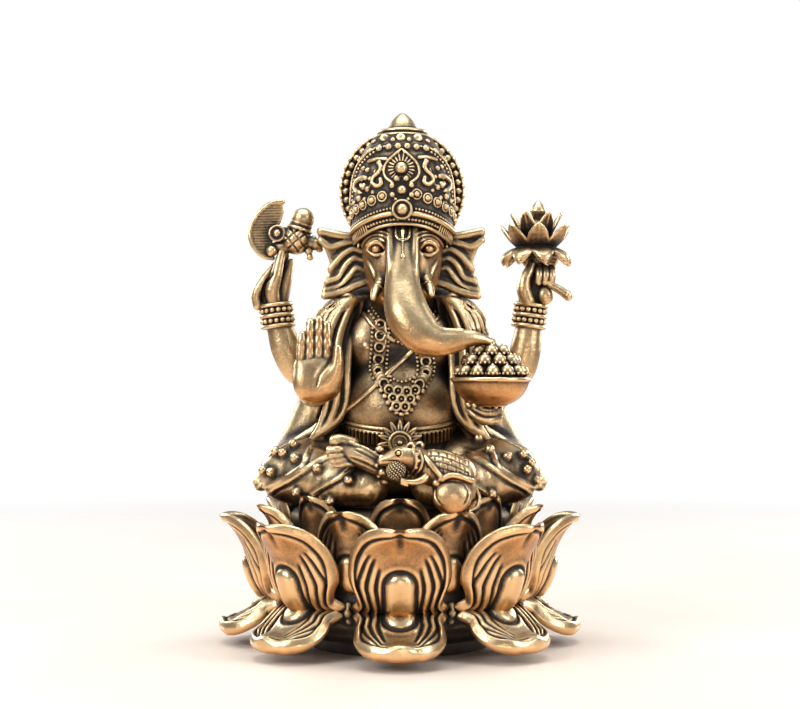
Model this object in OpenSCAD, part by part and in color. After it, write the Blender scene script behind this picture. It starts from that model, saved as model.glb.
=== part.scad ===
// Seated elephant-headed deity on a double lotus: a cast brass figurine built from separately cast pieces.
// Frame: origin at the centre of the resting face, +Z up, the figure faces -Y, its own right side is at -X.
// Every size is in millimetres for a statue 150 mm tall.

/* [Lotus base] */
// Petals in each ring
petal_count = 8; // [7:1:9]
// Radius at the tips of the big outer petals
outer_tip_r = 51.5; // [50:0.5:53]
// Radius at the tips of the drooping lower petals
lower_tip_r = 50.5; // [49:0.5:52]
// Wall of a petal at its middle
petal_wall = 2.2; // [1.8:0.1:2.6]
// Height of the seat, the top of the lotus
seat_z = 40; // [39:0.5:41]
// Radius of the dark plate that the statue rests on
plate_r = 26; // [22:1:28]
// Thickness of that plate
plate_t = 3; // [3:0.5:4]

/* [Figure] */
// Half the width of the belly
belly_r = 17.5; // [16.5:0.5:18.5]
// Half the width of the head at the temples
head_r = 13.2; // [12.6:0.1:13.8]
// Radius of the disc behind the head
halo_r = 18.3; // [17:0.1:19.5]
// Radius of the bowl at its rim
bowl_r = 10.6; // [10:0.1:11.2]
// Radius of a cuff at the wrist
cuff_r = 4.9; // [4.7:0.1:5.2]
// Radius of the round studs on the trousers
stud_r = 1.35; // [1.1:0.05:1.6]
// Radius of the screw that holds the figure on the lotus
screw_r = 2; // [1.5:0.25:2.5]

/* [Hidden] */
$fn = 32;
BRASS = [0.76, 0.58, 0.30];
COPPER = [0.74, 0.48, 0.24];
DARK = [0.08, 0.07, 0.07];

// Landmarks of the figure: [x, y, z], with a radius last where one is given
HEAD = [0.7, -7, 110.5];
CROWN = [0.7, -5, 119];
HALO = [0.7, 6.5, 128.5];
BOWL = [24.6, -24, 75];
BELLY = [0, -3, 67];
R_WRIST = [-35, 1, 93];
L_WRIST = [37, 1, 93];
R_ELBOW = [-28.5, 2, 77];
L_ELBOW = [33, 2, 76];
FLOWER = [39, 1, 110.5];
AXE_HUB = [-29.5, -1, 114.5];
MOUSE_HAUNCH = [14.5, -33.5, 45.2];

// Vectors and smooth paths
function unit(v) = v / norm(v);
function place(p) = [p[0], p[1], p[2]];
function curve_at(a, b, c, d, t) =
  0.5 * (2 * b + (c - a) * t + (2 * a - 5 * b + 4 * c - d) * t * t + (3 * b - a - 3 * c + d) * t * t * t);
function spline(p, n = 3) = [
  for (i = [0:len(p) - 2]) for (j = [0:n - 1])
    curve_at(p[max(i - 1, 0)], p[i], p[i + 1], p[min(i + 2, len(p) - 1)], j / n),
  p[len(p) - 1],
];
function tangent(p, i) = unit(place(p[min(i + 1, len(p) - 1)]) - place(p[max(i - 1, 0)]));

// A closed skin over rings of equal length, each ring anticlockwise as seen from the end of the path
module loft(rings) {
  n = len(rings[0]);
  m = len(rings);
  sides = [for (i = [0:m - 2]) for (k = [0:n - 1])
    [i * n + k, i * n + (k + 1) % n, (i + 1) * n + (k + 1) % n, (i + 1) * n + k]];
  low = [for (k = [0:n - 1]) n - 1 - k];
  high = [for (k = [0:n - 1]) (m - 1) * n + k];
  outward = [for (f = concat([low], sides, [high])) [for (i = [len(f) - 1:-1:0]) f[i]]];
  polyhedron(points = [for (r = rings) each r], faces = outward, convexity = 6);
}

// A round limb along points [x, y, z, radius], with rounded ends
module limb(p, sides = 10, n = 2, up = [0, 0, 1]) {
  s = spline(p, n);
  last = len(s) - 1;
  cap = [70, 35];
  stations = concat(
    [for (a = cap) [place(s[0]) - tangent(s, 0) * s[0][3] * sin(a), tangent(s, 0), s[0][3] * cos(a)]],
    [for (i = [0:last]) [place(s[i]), tangent(s, i), s[i][3]]],
    [for (a = [cap[1], cap[0]])
      [place(s[last]) + tangent(s, last) * s[last][3] * sin(a), tangent(s, last), s[last][3] * cos(a)]]);
  loft([for (q = stations) let (u = unit(cross(up, q[1])), v = cross(q[1], u))
    [for (k = [0:sides - 1]) q[0] + q[2] * (cos(360 * k / sides) * u + sin(360 * k / sides) * v)]]);
}

module egg(centre, radii) {
  translate(centre) scale(radii) sphere(1);
}

module ball(centre, r) {
  translate(centre) sphere(r);
}

// A straight round bar between two points
module bar(a, b, ra, rb) {
  d = b - a;
  translate(a) rotate([0, acos(d[2] / norm(d)), atan2(d[1], d[0])]) cylinder(r1 = ra, r2 = rb, h = norm(d));
}

module below(z) {
  translate([-100, -100, z - 200]) cube(200);
}

// ---- Lotus base ----

// One petal: spine is [radius, z] from root to tip, with half widths and cup depths at the same stations
module petal(spine, widths, cup, wall) {
  s = spline([for (i = [0:len(spine) - 1]) [spine[i][0], spine[i][1], widths[i], cup[i]]], 2);
  across = [-1, -0.62, -0.22, 0.22, 0.62, 1];
  last = len(s) - 1;
  loft([for (i = [0:last])
    let (
      a = s[max(i - 1, 0)], b = s[min(i + 1, last)],
      t = unit([b[0] - a[0], b[1] - a[1]]),
      out = [t[1], -t[0]],
      w = max(s[i][2], 0.8)
    )
    concat(
      [for (u = across) let (d = -s[i][3] * u * u)
        [s[i][0] + out[0] * d, w * u, s[i][1] + out[1] * d]],
      [for (k = [len(across) - 1:-1:0]) let (u = across[k], d = -s[i][3] * u * u - wall * (1 - 0.45 * u * u))
        [s[i][0] + out[0] * d, w * u, s[i][1] + out[1] * d]])]);
}

module petal_ring(turn, spine, widths, cup, wall) {
  for (i = [0:petal_count - 1])
    rotate([0, 0, -90 + turn + 360 * i / petal_count]) petal(spine, widths, cup, wall);
}

module hub_outline() {
  polygon([[0, plate_t], [27, plate_t], [31, 5], [34.5, 8.5], [35.5, 12], [34.5, 17], [32.5, 23], [31.5, 31],
    [32, seat_z - 3], [30.5, seat_z - 0.6], [28.5, seat_z], [0, seat_z]]);
}

module hub_solid() {
  rotate_extrude($fn = 64) hub_outline();
}

module base_plate() {
  color(DARK) difference() {
    cylinder(r = plate_r, h = plate_t, $fn = 64);
    translate([0, 0, -1]) cylinder(r = screw_r + 0.3, h = plate_t + 2);
    translate([0, 0, -1]) cylinder(r = 2 * screw_r + 0.8, h = 2.4);
  }
}

module fixing_screw() {
  color("silver") {
    translate([0, 0, 0.3]) cylinder(r = 2 * screw_r + 0.3, h = 1.1);
    translate([0, 0, 1.4]) cylinder(r = screw_r, h = seat_z + 8.6);
  }
}

module lotus_hub() {
  color(BRASS) difference() {
    hub_solid();
    rotate_extrude($fn = 64) polygon([[0, plate_t - 1], [22, plate_t - 1], [28, 8], [30, 12], [28, 22],
      [27, seat_z - 8], [23, seat_z - 5], [0, seat_z - 5]]);
    cylinder(r = screw_r + 0.3, h = 100);
  }
}

module lower_petals() {
  t = lower_tip_r;
  color(COPPER) difference() {
    petal_ring(0, [[31, 8.7], [38, 6.7], [43.5, 3.8], [t - 2.5, 2.4], [t, 4.2]],
      [7, 12, 12.8, 10, 3], [-0.8, -2.2, -2.6, -1.6, -0.2], petal_wall);
    hub_solid();
  }
}

module outer_petals() {
  t = outer_tip_r;
  color(COPPER) difference() {
    petal_ring(0, [[34, 12.4], [40.6, 15.8], [43.4, 21], [44.6, 27.5], [t - 4.5, 32.5], [t, 35.8]],
      [8.5, 12.6, 13.4, 12.2, 8.4, 1.6], [2, 4.4, 5.2, 4.6, 2.2, 0.2], petal_wall);
    hub_solid();
  }
}

module middle_petals() {
  color(COPPER) difference() {
    petal_ring(180 / petal_count, [[30.5, 17], [34.6, 20], [36.6, 27], [38.4, 34], [42, 39.3]],
      [6, 8.6, 10.2, 8.8, 2], [1, 2, 2.6, 2, 0.3], petal_wall * 0.85);
    hub_solid();
  }
}

module inner_petals() {
  color(COPPER) difference() {
    petal_ring(0, [[30, 26], [32.6, 30], [33.2, 36], [35, 41], [36.6, 42.8]],
      [5, 7.4, 8.6, 6.6, 2], [1, 1.9, 2.2, 1.4, 0.2], petal_wall * 0.8);
    hub_solid();
  }
}

// ---- Body ----

module torso_solid() {
  egg(BELLY, [belly_r, 16, 14.5]);
  egg([0, 0, 84], [15, 10.5, 15]);
  egg([0, 2, 50], [19, 16, 13]);
  for (s = [-1, 1]) egg([15 * s, 2, 90], [6.5, 6.5, 6]);
}

module torso() {
  color(BRASS) difference() {
    torso_solid();
    below(seat_z);
    translate([0, 0, seat_z - 1]) cylinder(r = screw_r, h = 11.5);
  }
}

module shawl_solid() {
  egg([0, 9, 76], [20, 8, 24]);
  egg([0, 8, 50], [24, 13, 12]);
  for (s = [-1, 1]) {
    egg([16.5 * s, 2, 90.5], [8, 8.5, 7.5]);
    limb([[17 * s, -5, 94, 4], [18.5 * s, -10, 84, 4], [17.5 * s, -11, 70, 3.4], [21 * s, -7, 60, 3.2],
      [28 * s, -2, 55, 3.6], [36 * s, 3, 49, 3]], up = [0, 1, 0.3]);
  }
}

module shawl() {
  color(BRASS) difference() {
    shawl_solid();
    torso_solid();
    below(seat_z);
  }
}

module calf_solid(s) {
  limb([[30 * s, -8, 49, 8.8], [22 * s, -19, 48, 7.8], [10 * s, -27, 46.6, 6]], 12);
}

module leg_solid(s) {
  limb([[9 * s, 4, 52, 10.5], [20 * s, -2, 51, 9.8], [30 * s, -7, 49.5, 8.9]], 12);
  calf_solid(s);
}

module leg(s) {
  difference() {
    leg_solid(s);
    torso_solid();
    shawl_solid();
    below(seat_z);
    translate([s > 0 ? -100 : 0, -50, 0]) cube([100, 100, 100]);
  }
}

module right_leg() { color(BRASS) leg(-1); }

module left_leg() { color(BRASS) difference() { leg(1); mouse_solid(); } }

module foot_solid() {
  limb([[-2.5, -31, 50, 4.2], [-8, -33, 53, 5], [-14, -32, 56.5, 4.8]], up = [0, 1, 0.4]);
  ball([-16.8, -30.5, 60.6], 2.3);
  for (i = [0:3]) ball([-18.4 + 0.7 * i, -31.2 - 0.5 * i, 57.6 - 1.7 * i], 1.5 - 0.1 * i);
}

module left_foot() {
  color(BRASS) difference() {
    foot_solid();
    leg_solid(-1);
    calf_solid(1);
    mouse_solid();
  }
}

module anklet() {
  color(BRASS) for (i = [0:3]) ball([-3.4 + 0.35 * i, -35.9 - 0.2 * i, 55.2 - 2.6 * i], 1.2);
}

// Studs stand on the skin of a thigh: each is given by its place on the right-hand side of the body
STUDS = [[22.6, -13.2, 58.3], [30.5, -5, 58.6], [36, -5.5, 56.2], [33.5, -8.5, 55.9], [28, -17.5, 55.2],
  [39.3, -10.5, 51.5], [35, -16.4, 51.2], [21, -26.6, 53], [12.4, -32.4, 50], [26.6, -25.8, 46.2],
  [17.2, -31.2, 44.2]];

module trouser_studs() {
  color(BRASS) difference() {
    for (s = [-1, 1]) for (p = STUDS)
      if (s < 0 || p[1] > -26.7) ball([p[0] * s, p[1], p[2]], stud_r);
    for (s = [-1, 1]) leg_solid(s);
  }
}

module shawl_tassels() {
  color(BRASS) for (s = [-1, 1]) for (i = [0:3])
    bar([38.2 * s, -4, 44.6], [(42.6 - 0.3 * i) * s, -5 + 0.6 * i, 42.8 + 1.3 * i], 1, 1.3);
}

// ---- Dress and jewels ----

function belt_at(a) = [18.3 * sin(a), -2 - 17 * cos(a), 59.2 + 5 * (1 - cos(a)) - 2.4 * pow(cos(a), 6)];

module belt() {
  color(BRASS) difference() {
    for (a = [-70:4:70]) if (abs(a) > 13)
      translate(belt_at(a)) rotate([0, 0, a]) cube([1, 2.2, 2.8], center = true);
    torso_solid();
  }
}

module belt_buckle() {
  centre = [0, -20.2, 57.6];
  color(BRASS) {
    translate(centre) rotate([98, 0, 0]) difference() {
      cylinder(r = 3.9, h = 1.6);
      translate([0, 0, 1]) cylinder(r = 3, h = 1);
    }
    for (a = [-80:20:80])
      let (out = [sin(a), 0, cos(a)])
      bar(centre + 3.2 * out - [0, 0.8, 0], centre + 6.3 * out - [0, 0.2, 0], 0.9, 0.45);
  }
}

module sacred_thread() {
  color(BRASS) difference() {
    limb([[8, -15.6, 86, 0.95], [0, -18.4, 77, 0.95], [-9, -18.2, 70, 0.95], [-17.5, -12.2, 63.6, 0.8]],
      sides = 10, n = 4, up = [0, 1, 0]);
    torso_solid();
  }
}

// How far forward the front of the belly and chest is
function chest_y(x, z) =
  BELLY[1] - 16 * sqrt(max(0.05, 1 - pow(x / belly_r, 2) - pow((z - BELLY[2]) / 17, 2)));

module jewelled_necklace() {
  color(BRASS) for (s = [-1, 1]) for (i = [0:5]) let (
    x = [11.2, 11.6, 11.4, 10.8, 9.4, 7][i], z = [89.5, 86, 82.4, 79, 75.8, 73.2][i],
    y = min(chest_y(x, z), -10) - 1.4
  )
    translate([x * s - 1.5, y, z]) rotate([90 + (z - 78), 0, 8 * s]) difference() {
      cylinder(r = 1.9, h = 1.4);
      translate([0, 0, 0.7]) cylinder(r = 1.1, h = 1);
    }
}

module pendant() {
  color(BRASS) translate([-0.6, -20.6, 70]) rotate([94, 0, 0]) difference() {
    linear_extrude(1.3)
      polygon([[-5.6, 3.4], [5.6, 3.4], [4.6, -1.4], [2.6, -4.6], [0, -5.6], [-2.6, -4.6], [-4.6, -1.4]]);
    for (row = [[2, [-1.5, 1.5]], [-0.6, [-3, 0, 3]], [-3.2, [-1.5, 1.5]]])
      for (x = row[1])
      translate([x, row[0], 0.6]) cylinder(r = 0.85, h = 1);
  }
}

module bead_necklace() {
  color(BRASS) for (s = [-1, 1]) for (i = [0:7])
    ball([s * (14.2 - 1.25 * i), -9.2 - 0.95 * i, 96.2 - 1.5 * i - 0.02 * i * i], 0.62);
}

// ---- Rear arms and what they hold ----

module rear_arm(s, elbow, wrist) {
  difference() {
    limb([[20 * s, 4, 87, 4.8], [(abs(elbow[0]) - 4) * s, 4, 79.5, 4.8],
      [elbow[0] + s * 1.5, 2, elbow[2] + 1.5, 4.6], [elbow[0] + s * 4.5, 1.2, elbow[2] + 8, 4.1],
      [wrist[0], wrist[1], wrist[2] - 3.6, 3.6]], up = [0, 1, 0]);
    shawl_solid();
    cuff_solid(s, wrist);
  }
}

module cuff_solid(s, wrist) {
  translate(wrist) rotate([0, -7 * s, 0]) translate([0, 0, -3.4]) cylinder(r = cuff_r, h = 6.8);
}

// A cuff has three rims, with a channel of beads between each two
module cuff(s, wrist) {
  c = cuff_r;
  translate(wrist) rotate([0, -7 * s, 0]) rotate_extrude($fn = 48)
    polygon([[0, -3.4], [c, -3.4], [c, -2.6], [c - 0.5, -2.2], [c - 0.5, -0.8], [c, -0.4],
      [c, 0.4], [c - 0.5, 0.8], [c - 0.5, 2.2], [c, 2.6], [c, 3.4], [0, 3.4]]);
}

module right_rear_arm() { color(BRASS) rear_arm(-1, R_ELBOW, R_WRIST); }
module left_rear_arm() { color(BRASS) rear_arm(1, L_ELBOW, L_WRIST); }
module right_rear_cuff() { color(BRASS) cuff(-1, R_WRIST); }
module left_rear_cuff() { color(BRASS) cuff(1, L_WRIST); }

module right_rear_hand() {
  w = R_WRIST;
  color(BRASS) difference() {
    limb([[w[0] - 0.3, 1, w[2] + 2, 3.2], [w[0] - 0.6, 0.6, w[2] + 7, 3.9], [w[0] + 0.4, 0.4, w[2] + 11, 3]],
      12, 3, [0, 1, 0]);
    cuff_solid(-1, R_WRIST);
    axe_hub_solid();
  }
  color(BRASS) for (i = [0:2])
    limb([[w[0] - 3.6 + 3.2 * i, -1.6, w[2] + 9.5, 1.5], [w[0] - 3.2 + 3.4 * i, -2.4, w[2] + 14, 1.4],
      [w[0] - 1.4 + 3 * i, -1.8, w[2] + 17.2, 1.1]], 8, 2, [0, 1, 0]);
}

module axe_hub_solid() {
  ball(AXE_HUB, 4.1);
}

module axe_handle() {
  h = AXE_HUB;
  color(BRASS) {
    ball(h, 4.1);
    bar(h, h + [2.2, 0, 5.2], 3.2, 2.9);
    ball(h + [2.6, 0, 7], 3.1);
    bar(h, h + [5.4, 0, -1.8], 1.6, 1.3);
    ball(h + [5.6, 0, -1.6], 1.6);
    bar(h, h + [-4.4, -0.5, 1.6], 1.9, 1.9);
    ball(h + [-5.2, -0.9, 1.9], 1.5);
    ball(h + [-6.6, -1, -3.4], 1.6);
  }
}

module axe_blade() {
  color(BRASS) difference() {
    translate([-33.9, -0.2, 117.3]) rotate([90, 0, 0]) intersection() {
      difference() {
        cylinder(r = 9, h = 1.8, center = true, $fn = 48);
        translate([6.2, 2.4, 0]) cylinder(r = 6.2, h = 4, center = true, $fn = 48);
      }
      rotate([0, 0, 8]) translate([-10, -10, -2]) cube([12.4, 20, 4]);
    }
    axe_handle();
  }
}

module left_rear_hand() {
  w = L_WRIST;
  color(BRASS) difference() {
    limb([[w[0] + 0.2, 1, w[2] + 2, 3.2], [w[0] + 0.6, 0.6, w[2] + 6, 4.2], [w[0] + 1, 0.4, w[2] + 10, 3.6]],
      up = [0, 1, 0]);
    cuff_solid(1, L_WRIST);
    stem_solid();
    flower_cup_solid();
  }
}

module stem_solid() {
  limb([[48.2, -4.4, 98.4, 1.5], [43, -4, 100.6, 1.4], [39.6, -2.4, 104, 1.3], [39, 0, 107, 1.3]],
    up = [0, 1, 0]);
}

module lotus_stem() {
  color(BRASS) difference() {
    stem_solid();
    flower_cup_solid();
  }
}

module flower_cup_solid() {
  translate([FLOWER[0], FLOWER[1], FLOWER[2] - 4.2]) cylinder(r1 = 3.2, r2 = 4.6, h = 4.2);
}

// A flower petal: a thin leaf from the flower's heart, turned round it and raised by the angle rise
module flower_petal(turn, rise, length, width) {
  translate(FLOWER) rotate([0, 0, turn]) rotate([0, -rise, 0]) hull() {
    translate([1.5, 0, 0]) cylinder(r = width * 0.4, h = 0.7, $fn = 8);
    translate([length * 0.6, 0, -0.4]) cylinder(r = width, h = 0.7, $fn = 10);
    translate([length - 0.4, 0, 0.2]) cylinder(r = 0.4, h = 0.6, $fn = 6);
  }
}

module lotus_flower() {
  color(BRASS) {
    flower_cup_solid();
    for (i = [0:6]) flower_petal(360 * i / 7 + 10, -18, 9.2, 2.6);
    for (i = [0:6]) flower_petal(360 * i / 7 - 16, 30, 9.6, 2.5);
    for (i = [0:4]) flower_petal(72 * i + 30, 60, 8.6, 2.3);
    translate(FLOWER) cylinder(r1 = 3, r2 = 0.4, h = 9);
  }
}

// ---- Front arms, the blessing hand and the bowl ----

module right_front_arm() {
  color(BRASS) difference() {
    limb([[-19, -2, 84, 4.6], [-23.5, -6, 74, 4.6], [-23.4, -16, 71.5, 4.2]], up = [1, 0, 0]);
    torso_solid();
    shawl_solid();
    palm_solid();
  }
}

module palm_solid() {
  egg([-22.6, -21.5, 75.5], [6.4, 4, 7.4]);
}

module blessing_hand() {
  color(BRASS) {
    palm_solid();
    for (i = [0:3])
      limb([[-26.6 + 2.5 * i, -22, 80, 1.45], [-26.4 + 2.3 * i, -22.3, 86, 1.4],
        [-26 + 2.1 * i, -22, [89.3, 91.6, 92, 90.6][i], 1.1]], 8, 2, [0, 1, 0]);
    limb([[-19.5, -24, 76, 1.9], [-17.4, -24.6, 80.5, 1.7], [-16.4, -24, 83.6, 1.3]], 8, 2, [0, 1, 0]);
  }
}

module left_front_arm() {
  color(BRASS) difference() {
    limb([[19, -2, 84, 4.6], [25, -6, 72, 4.4], [24, -15, 66.5, 3.8]], up = [1, 0, 0]);
    torso_solid();
    shawl_solid();
    bowl_hand_solid();
    bowl_solid();
  }
}

module bowl_hand_solid() {
  egg([22.4, -21, 65.4], [4.6, 5.6, 2.8]);
}

module bowl_hand() {
  color(BRASS) difference() {
    union() {
      bowl_hand_solid();
      for (i = [0:3])
        let (x = 18.9 + 2.3 * i)
        limb([[x + 0.3, -24, 63.6, 1.2], [x, -27, 65.8, 1.2], [x, -26.6, 68, 1.05]], 8, 2, [1, 0, 0]);
    }
    bowl_solid();
  }
}

module bowl_outline() {
  polygon([[0, -8.6], [3.4, -8.6], [3.8, -8], [7.4, -5.6], [9.6, -2.6], [bowl_r - 0.6, -0.9], [bowl_r, -0.6],
    [bowl_r, 0], [0, 0]]);
}

module bowl_solid() {
  translate(BOWL) rotate_extrude($fn = 48) bowl_outline();
}

module bowl() {
  color(COPPER) translate(BOWL) rotate_extrude($fn = 48) difference() {
    bowl_outline();
    polygon([[0, -6.9], [4, -6.4], [6.8, -4.4], [8.6, -1.6], [9.1, 1], [0, 1]]);
  }
}

// Sweets heaped in rings: [ring radius, height of the balls' centres, how many]
module sweets() {
  color(BRASS) translate(BOWL) {
    rotate_extrude($fn = 48)
      polygon([[0, -6.7], [3.9, -6.2], [6.6, -4.2], [8.4, -1.6], [8.6, 0], [7.6, 2.6], [4.6, 6], [0, 8.2]]);
    for (ring = [[8.3, 1.5, 13], [6.6, 4.3, 10], [4, 6.8, 6], [0, 8.6, 1]]) for (i = [0:ring[2] - 1])
      rotate([0, 0, 360 * i / ring[2]]) translate([ring[0], 0, ring[1]]) sphere(1.75, $fn = 24);
  }
}

// ---- Head ----

TRUNK = [[0.9, -17.5, 112, 4.2], [0.8, -20.5, 106, 4.1], [0.7, -23, 99.5, 4.6], [1.8, -25.5, 93, 5.2],
  [6.2, -27, 86.6, 4.9], [13, -27.5, 84.4, 3.4], [19, -27, 85, 2.5], [23.6, -26, 84.6, 1.3]];

module skull_solid() {
  egg(HEAD, [head_r, 12.6, 12]);
  egg(HEAD + [0, -3.5, -7.5], [10.4, 9.6, 9]);
}

module head() {
  color(BRASS) difference() {
    union() {
      skull_solid();
      limb(TRUNK, 12, 3, [1, 0, 0]);
    }
    torso_solid();
    crown_solid();
    bowl_solid();
  }
}

// The ear's edge, from the root's top round the tips to the root's bottom, as x away from the head and z
EAR = [[11, 117.4], [16, 117], [22.2, 116.6], [22, 113], [20, 108.6], [19.2, 105.6], [20.6, 101.6],
  [21, 98.4], [18.6, 97.4], [15, 99], [9, 101.6], [9, 110]];

module ear(s) {
  difference() {
    translate([HEAD[0], -3.4, 0]) rotate([90, 0, 0]) linear_extrude(2.6)
      polygon([for (p = EAR) [p[0] * s, p[1]]]);
    skull_solid();
    torso_solid();
    crown_solid();
  }
}

module right_ear() { color(BRASS) ear(-1); }
module left_ear() { color(BRASS) ear(1); }

module right_tusk() {
  color(BRASS) difference() {
    bar([-6, -17, 102], [-8, -23.4, 96.6], 1.6, 0.9);
    skull_solid();
  }
}

module left_tusk() {
  color(BRASS) difference() {
    bar([7.2, -17, 102], [8.9, -21.8, 98.2], 1.6, 1.4);
    skull_solid();
  }
}

module forehead_trident() {
  c = [0.9, -21.9, 112.6];
  color("gold") {
    bar(c + [0, 1, -3.4], c + [0, 0, 3.4], 0.35, 0.35);
    bar(c + [-1.5, 0.6, 0.2], c + [1.5, 0.6, 0.2], 0.35, 0.35);
    for (s = [-1.5, 1.5]) bar(c + [s, 0.6, 0.2], c + [s, 0.1, 2.6], 0.35, 0.3);
    ball(c + [0, 0.8, -5], 0.75);
  }
}

// ---- Crown and halo ----

module crown_outline() {
  polygon([[0, -2.6], [14.2, -2.6], [14.6, -1.4], [14.4, 0.8], [14.2, 4], [13.9, 9], [12.9, 14], [10.8, 19],
    [7.6, 23.4], [6.4, 25.6], [0, 25.6]]);
}

module crown_solid() {
  translate(CROWN) rotate_extrude($fn = 48) crown_outline();
}

module crown_band() {
  color(BRASS) difference() {
    translate(CROWN) rotate_extrude($fn = 48)
      polygon([[12.2, -2.4], [14.4, -2.4], [15.2, -1.6], [15.2, -0.4], [14.6, 0.6], [14.6, 2.6],
        [12.2, 2.6]]);
    skull_solid();
  }
}

module crown_dome() {
  color(BRASS) difference() {
    crown_solid();
    skull_solid();
    translate(CROWN + [0, 0, -4]) cylinder(r = 20, h = 6.6);
  }
}

module crown_plaque() {
  color(BRASS) translate(CROWN + [0, -13.2, 13.6]) rotate([80, 0, 0]) difference() {
    linear_extrude(2.2)
      polygon([[0, 7], [3.4, 3.6], [5.3, -0.4], [4.6, -3.4], [2.4, -5], [-2.4, -5], [-4.6, -3.4],
        [-5.3, -0.4], [-3.4, 3.6]]);
    rotate([-80, 0, 0]) translate([0, 13.2, -13.6]) rotate_extrude($fn = 48) crown_outline();
  }
}

module crown_jewel() {
  color(BRASS) difference() {
    union() {
      translate(CROWN + [0, -13.4, 4.6]) rotate([90, 0, 0]) cylinder(r = 2.9, h = 2.2);
      ball(CROWN + [0, -15.6, 4.6], 1.7);
    }
    crown_solid();
    crown_band();
  }
}

module crown_rosettes() {
  color(BRASS) difference() {
    for (a = [-120:20:120]) if (a != 0)
      translate(CROWN) rotate([0, 0, a]) translate([0, -14, 5.6 - 1.6 * abs(sin(a / 2))]) rotate([90, 0, 0]) {
        cylinder(r = 1.5, h = 1);
        translate([0, 0, 1]) sphere(0.85);
      }
    crown_solid();
    crown_jewel();
  }
}

module crown_finial() {
  color(BRASS) translate(CROWN + [0, 0, 25.6]) rotate_extrude($fn = 48)
    polygon([[0, 0], [6.2, 0], [6.4, 0.5], [6.2, 1], [5, 1], [5, 1.3], [4, 3], [2.6, 4.6], [1.2, 5.3],
      [0, 5.4]]);
}

module halo() {
  color(BRASS) difference() {
    translate(HALO) rotate([90, 0, 0]) difference() {
      cylinder(r = halo_r, h = 3, center = true, $fn = 72);
      translate([0, 0, 1]) difference() {
        cylinder(r = halo_r - 0.7, h = 1, $fn = 72);
        cylinder(r = halo_r - 3.6, h = 3, center = true, $fn = 72);
      }
    }
    translate(CROWN + [0, 0, -2.6]) cylinder(r = 15.3, h = 5.4);
    crown_solid();
    crown_finial();
    skull_solid();
  }
}

function halo_bead(a) = [(halo_r - 2.15) * sin(a), -1.6, (halo_r - 2.15) * cos(a)];

module halo_beads() {
  color(BRASS) translate(HALO) for (i = [0:27]) let (a = -122 + 244 * i / 27)
    if (abs(a) > 20) ball(halo_bead(a), 0.95);
}

// ---- Mouse ----

module mouse_solid() {
  egg(MOUSE_HAUNCH, [6, 5.4, 5.8]);
  limb([[15, -33, 48, 5.2], [9.6, -34, 51.6, 4.2], [3.6, -35.4, 54.4, 3.4], [-1.5, -36.6, 54.8, 2.2],
    [-5.4, -37.2, 54.2, 0.9]], up = [0, 1, 0]);
}

module mouse() {
  color(COPPER) {
    difference() {
      mouse_solid();
      below(seat_z + 2.9);
      mouse_saddle_solid();
      ball([-1, -38.4, 50.9], 2.7);
    }
    ball([3.4, -37, 58.6], 1.4);
    limb([[6, -37, 51, 1.3], [3.4, -38.6, 48.4, 1.1], [0.6, -38.4, 47.4, 0.9]], 8, 2, [0, 1, 0]);
  }
}

module mouse_saddle_solid() {
  limb([[10, -34, 53.2, 4.9], [14.4, -33.4, 50.4, 6.1], [16, -33, 48, 6.2]], up = [0, 1, 0]);
}

module mouse_saddle() {
  color(COPPER) difference() {
    mouse_saddle_solid();
    mouse_solid();
    calf_solid(1);
  }
}

module mouse_sweet() { color(BRASS) ball([-1, -38.4, 50.9], 2.7); }

module mouse_tail() {
  color(COPPER) {
    bar([20.6, -36, 46.4], [21, -37.4, 44.4], 1, 0.9);
    ball([21, -37.4, 44.4], 0.9);
    bar([21, -37.4, 44.4], [18, -39.4, 44], 0.9, 0.6);
  }
}

base_plate();
fixing_screw();
lotus_hub();
lower_petals();
outer_petals();
middle_petals();
inner_petals();
torso();
shawl();
right_leg();
left_leg();
left_foot();
anklet();
trouser_studs();
shawl_tassels();
belt();
belt_buckle();
sacred_thread();
jewelled_necklace();
bead_necklace();
pendant();
right_rear_arm();
right_rear_cuff();
right_rear_hand();
axe_blade();
axe_handle();
left_rear_arm();
left_rear_cuff();
left_rear_hand();
lotus_flower();
lotus_stem();
right_front_arm();
blessing_hand();
left_front_arm();
bowl_hand();
bowl();
sweets();
head();
right_ear();
left_ear();
right_tusk();
left_tusk();
forehead_trident();
crown_band();
crown_dome();
crown_plaque();
crown_jewel();
crown_rosettes();
crown_finial();
halo();
halo_beads();
mouse();
mouse_saddle();
mouse_sweet();
mouse_tail();
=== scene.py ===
"""Seated elephant-headed deity on a double lotus: the finished look of the cast brass figurine."""

import math

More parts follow.
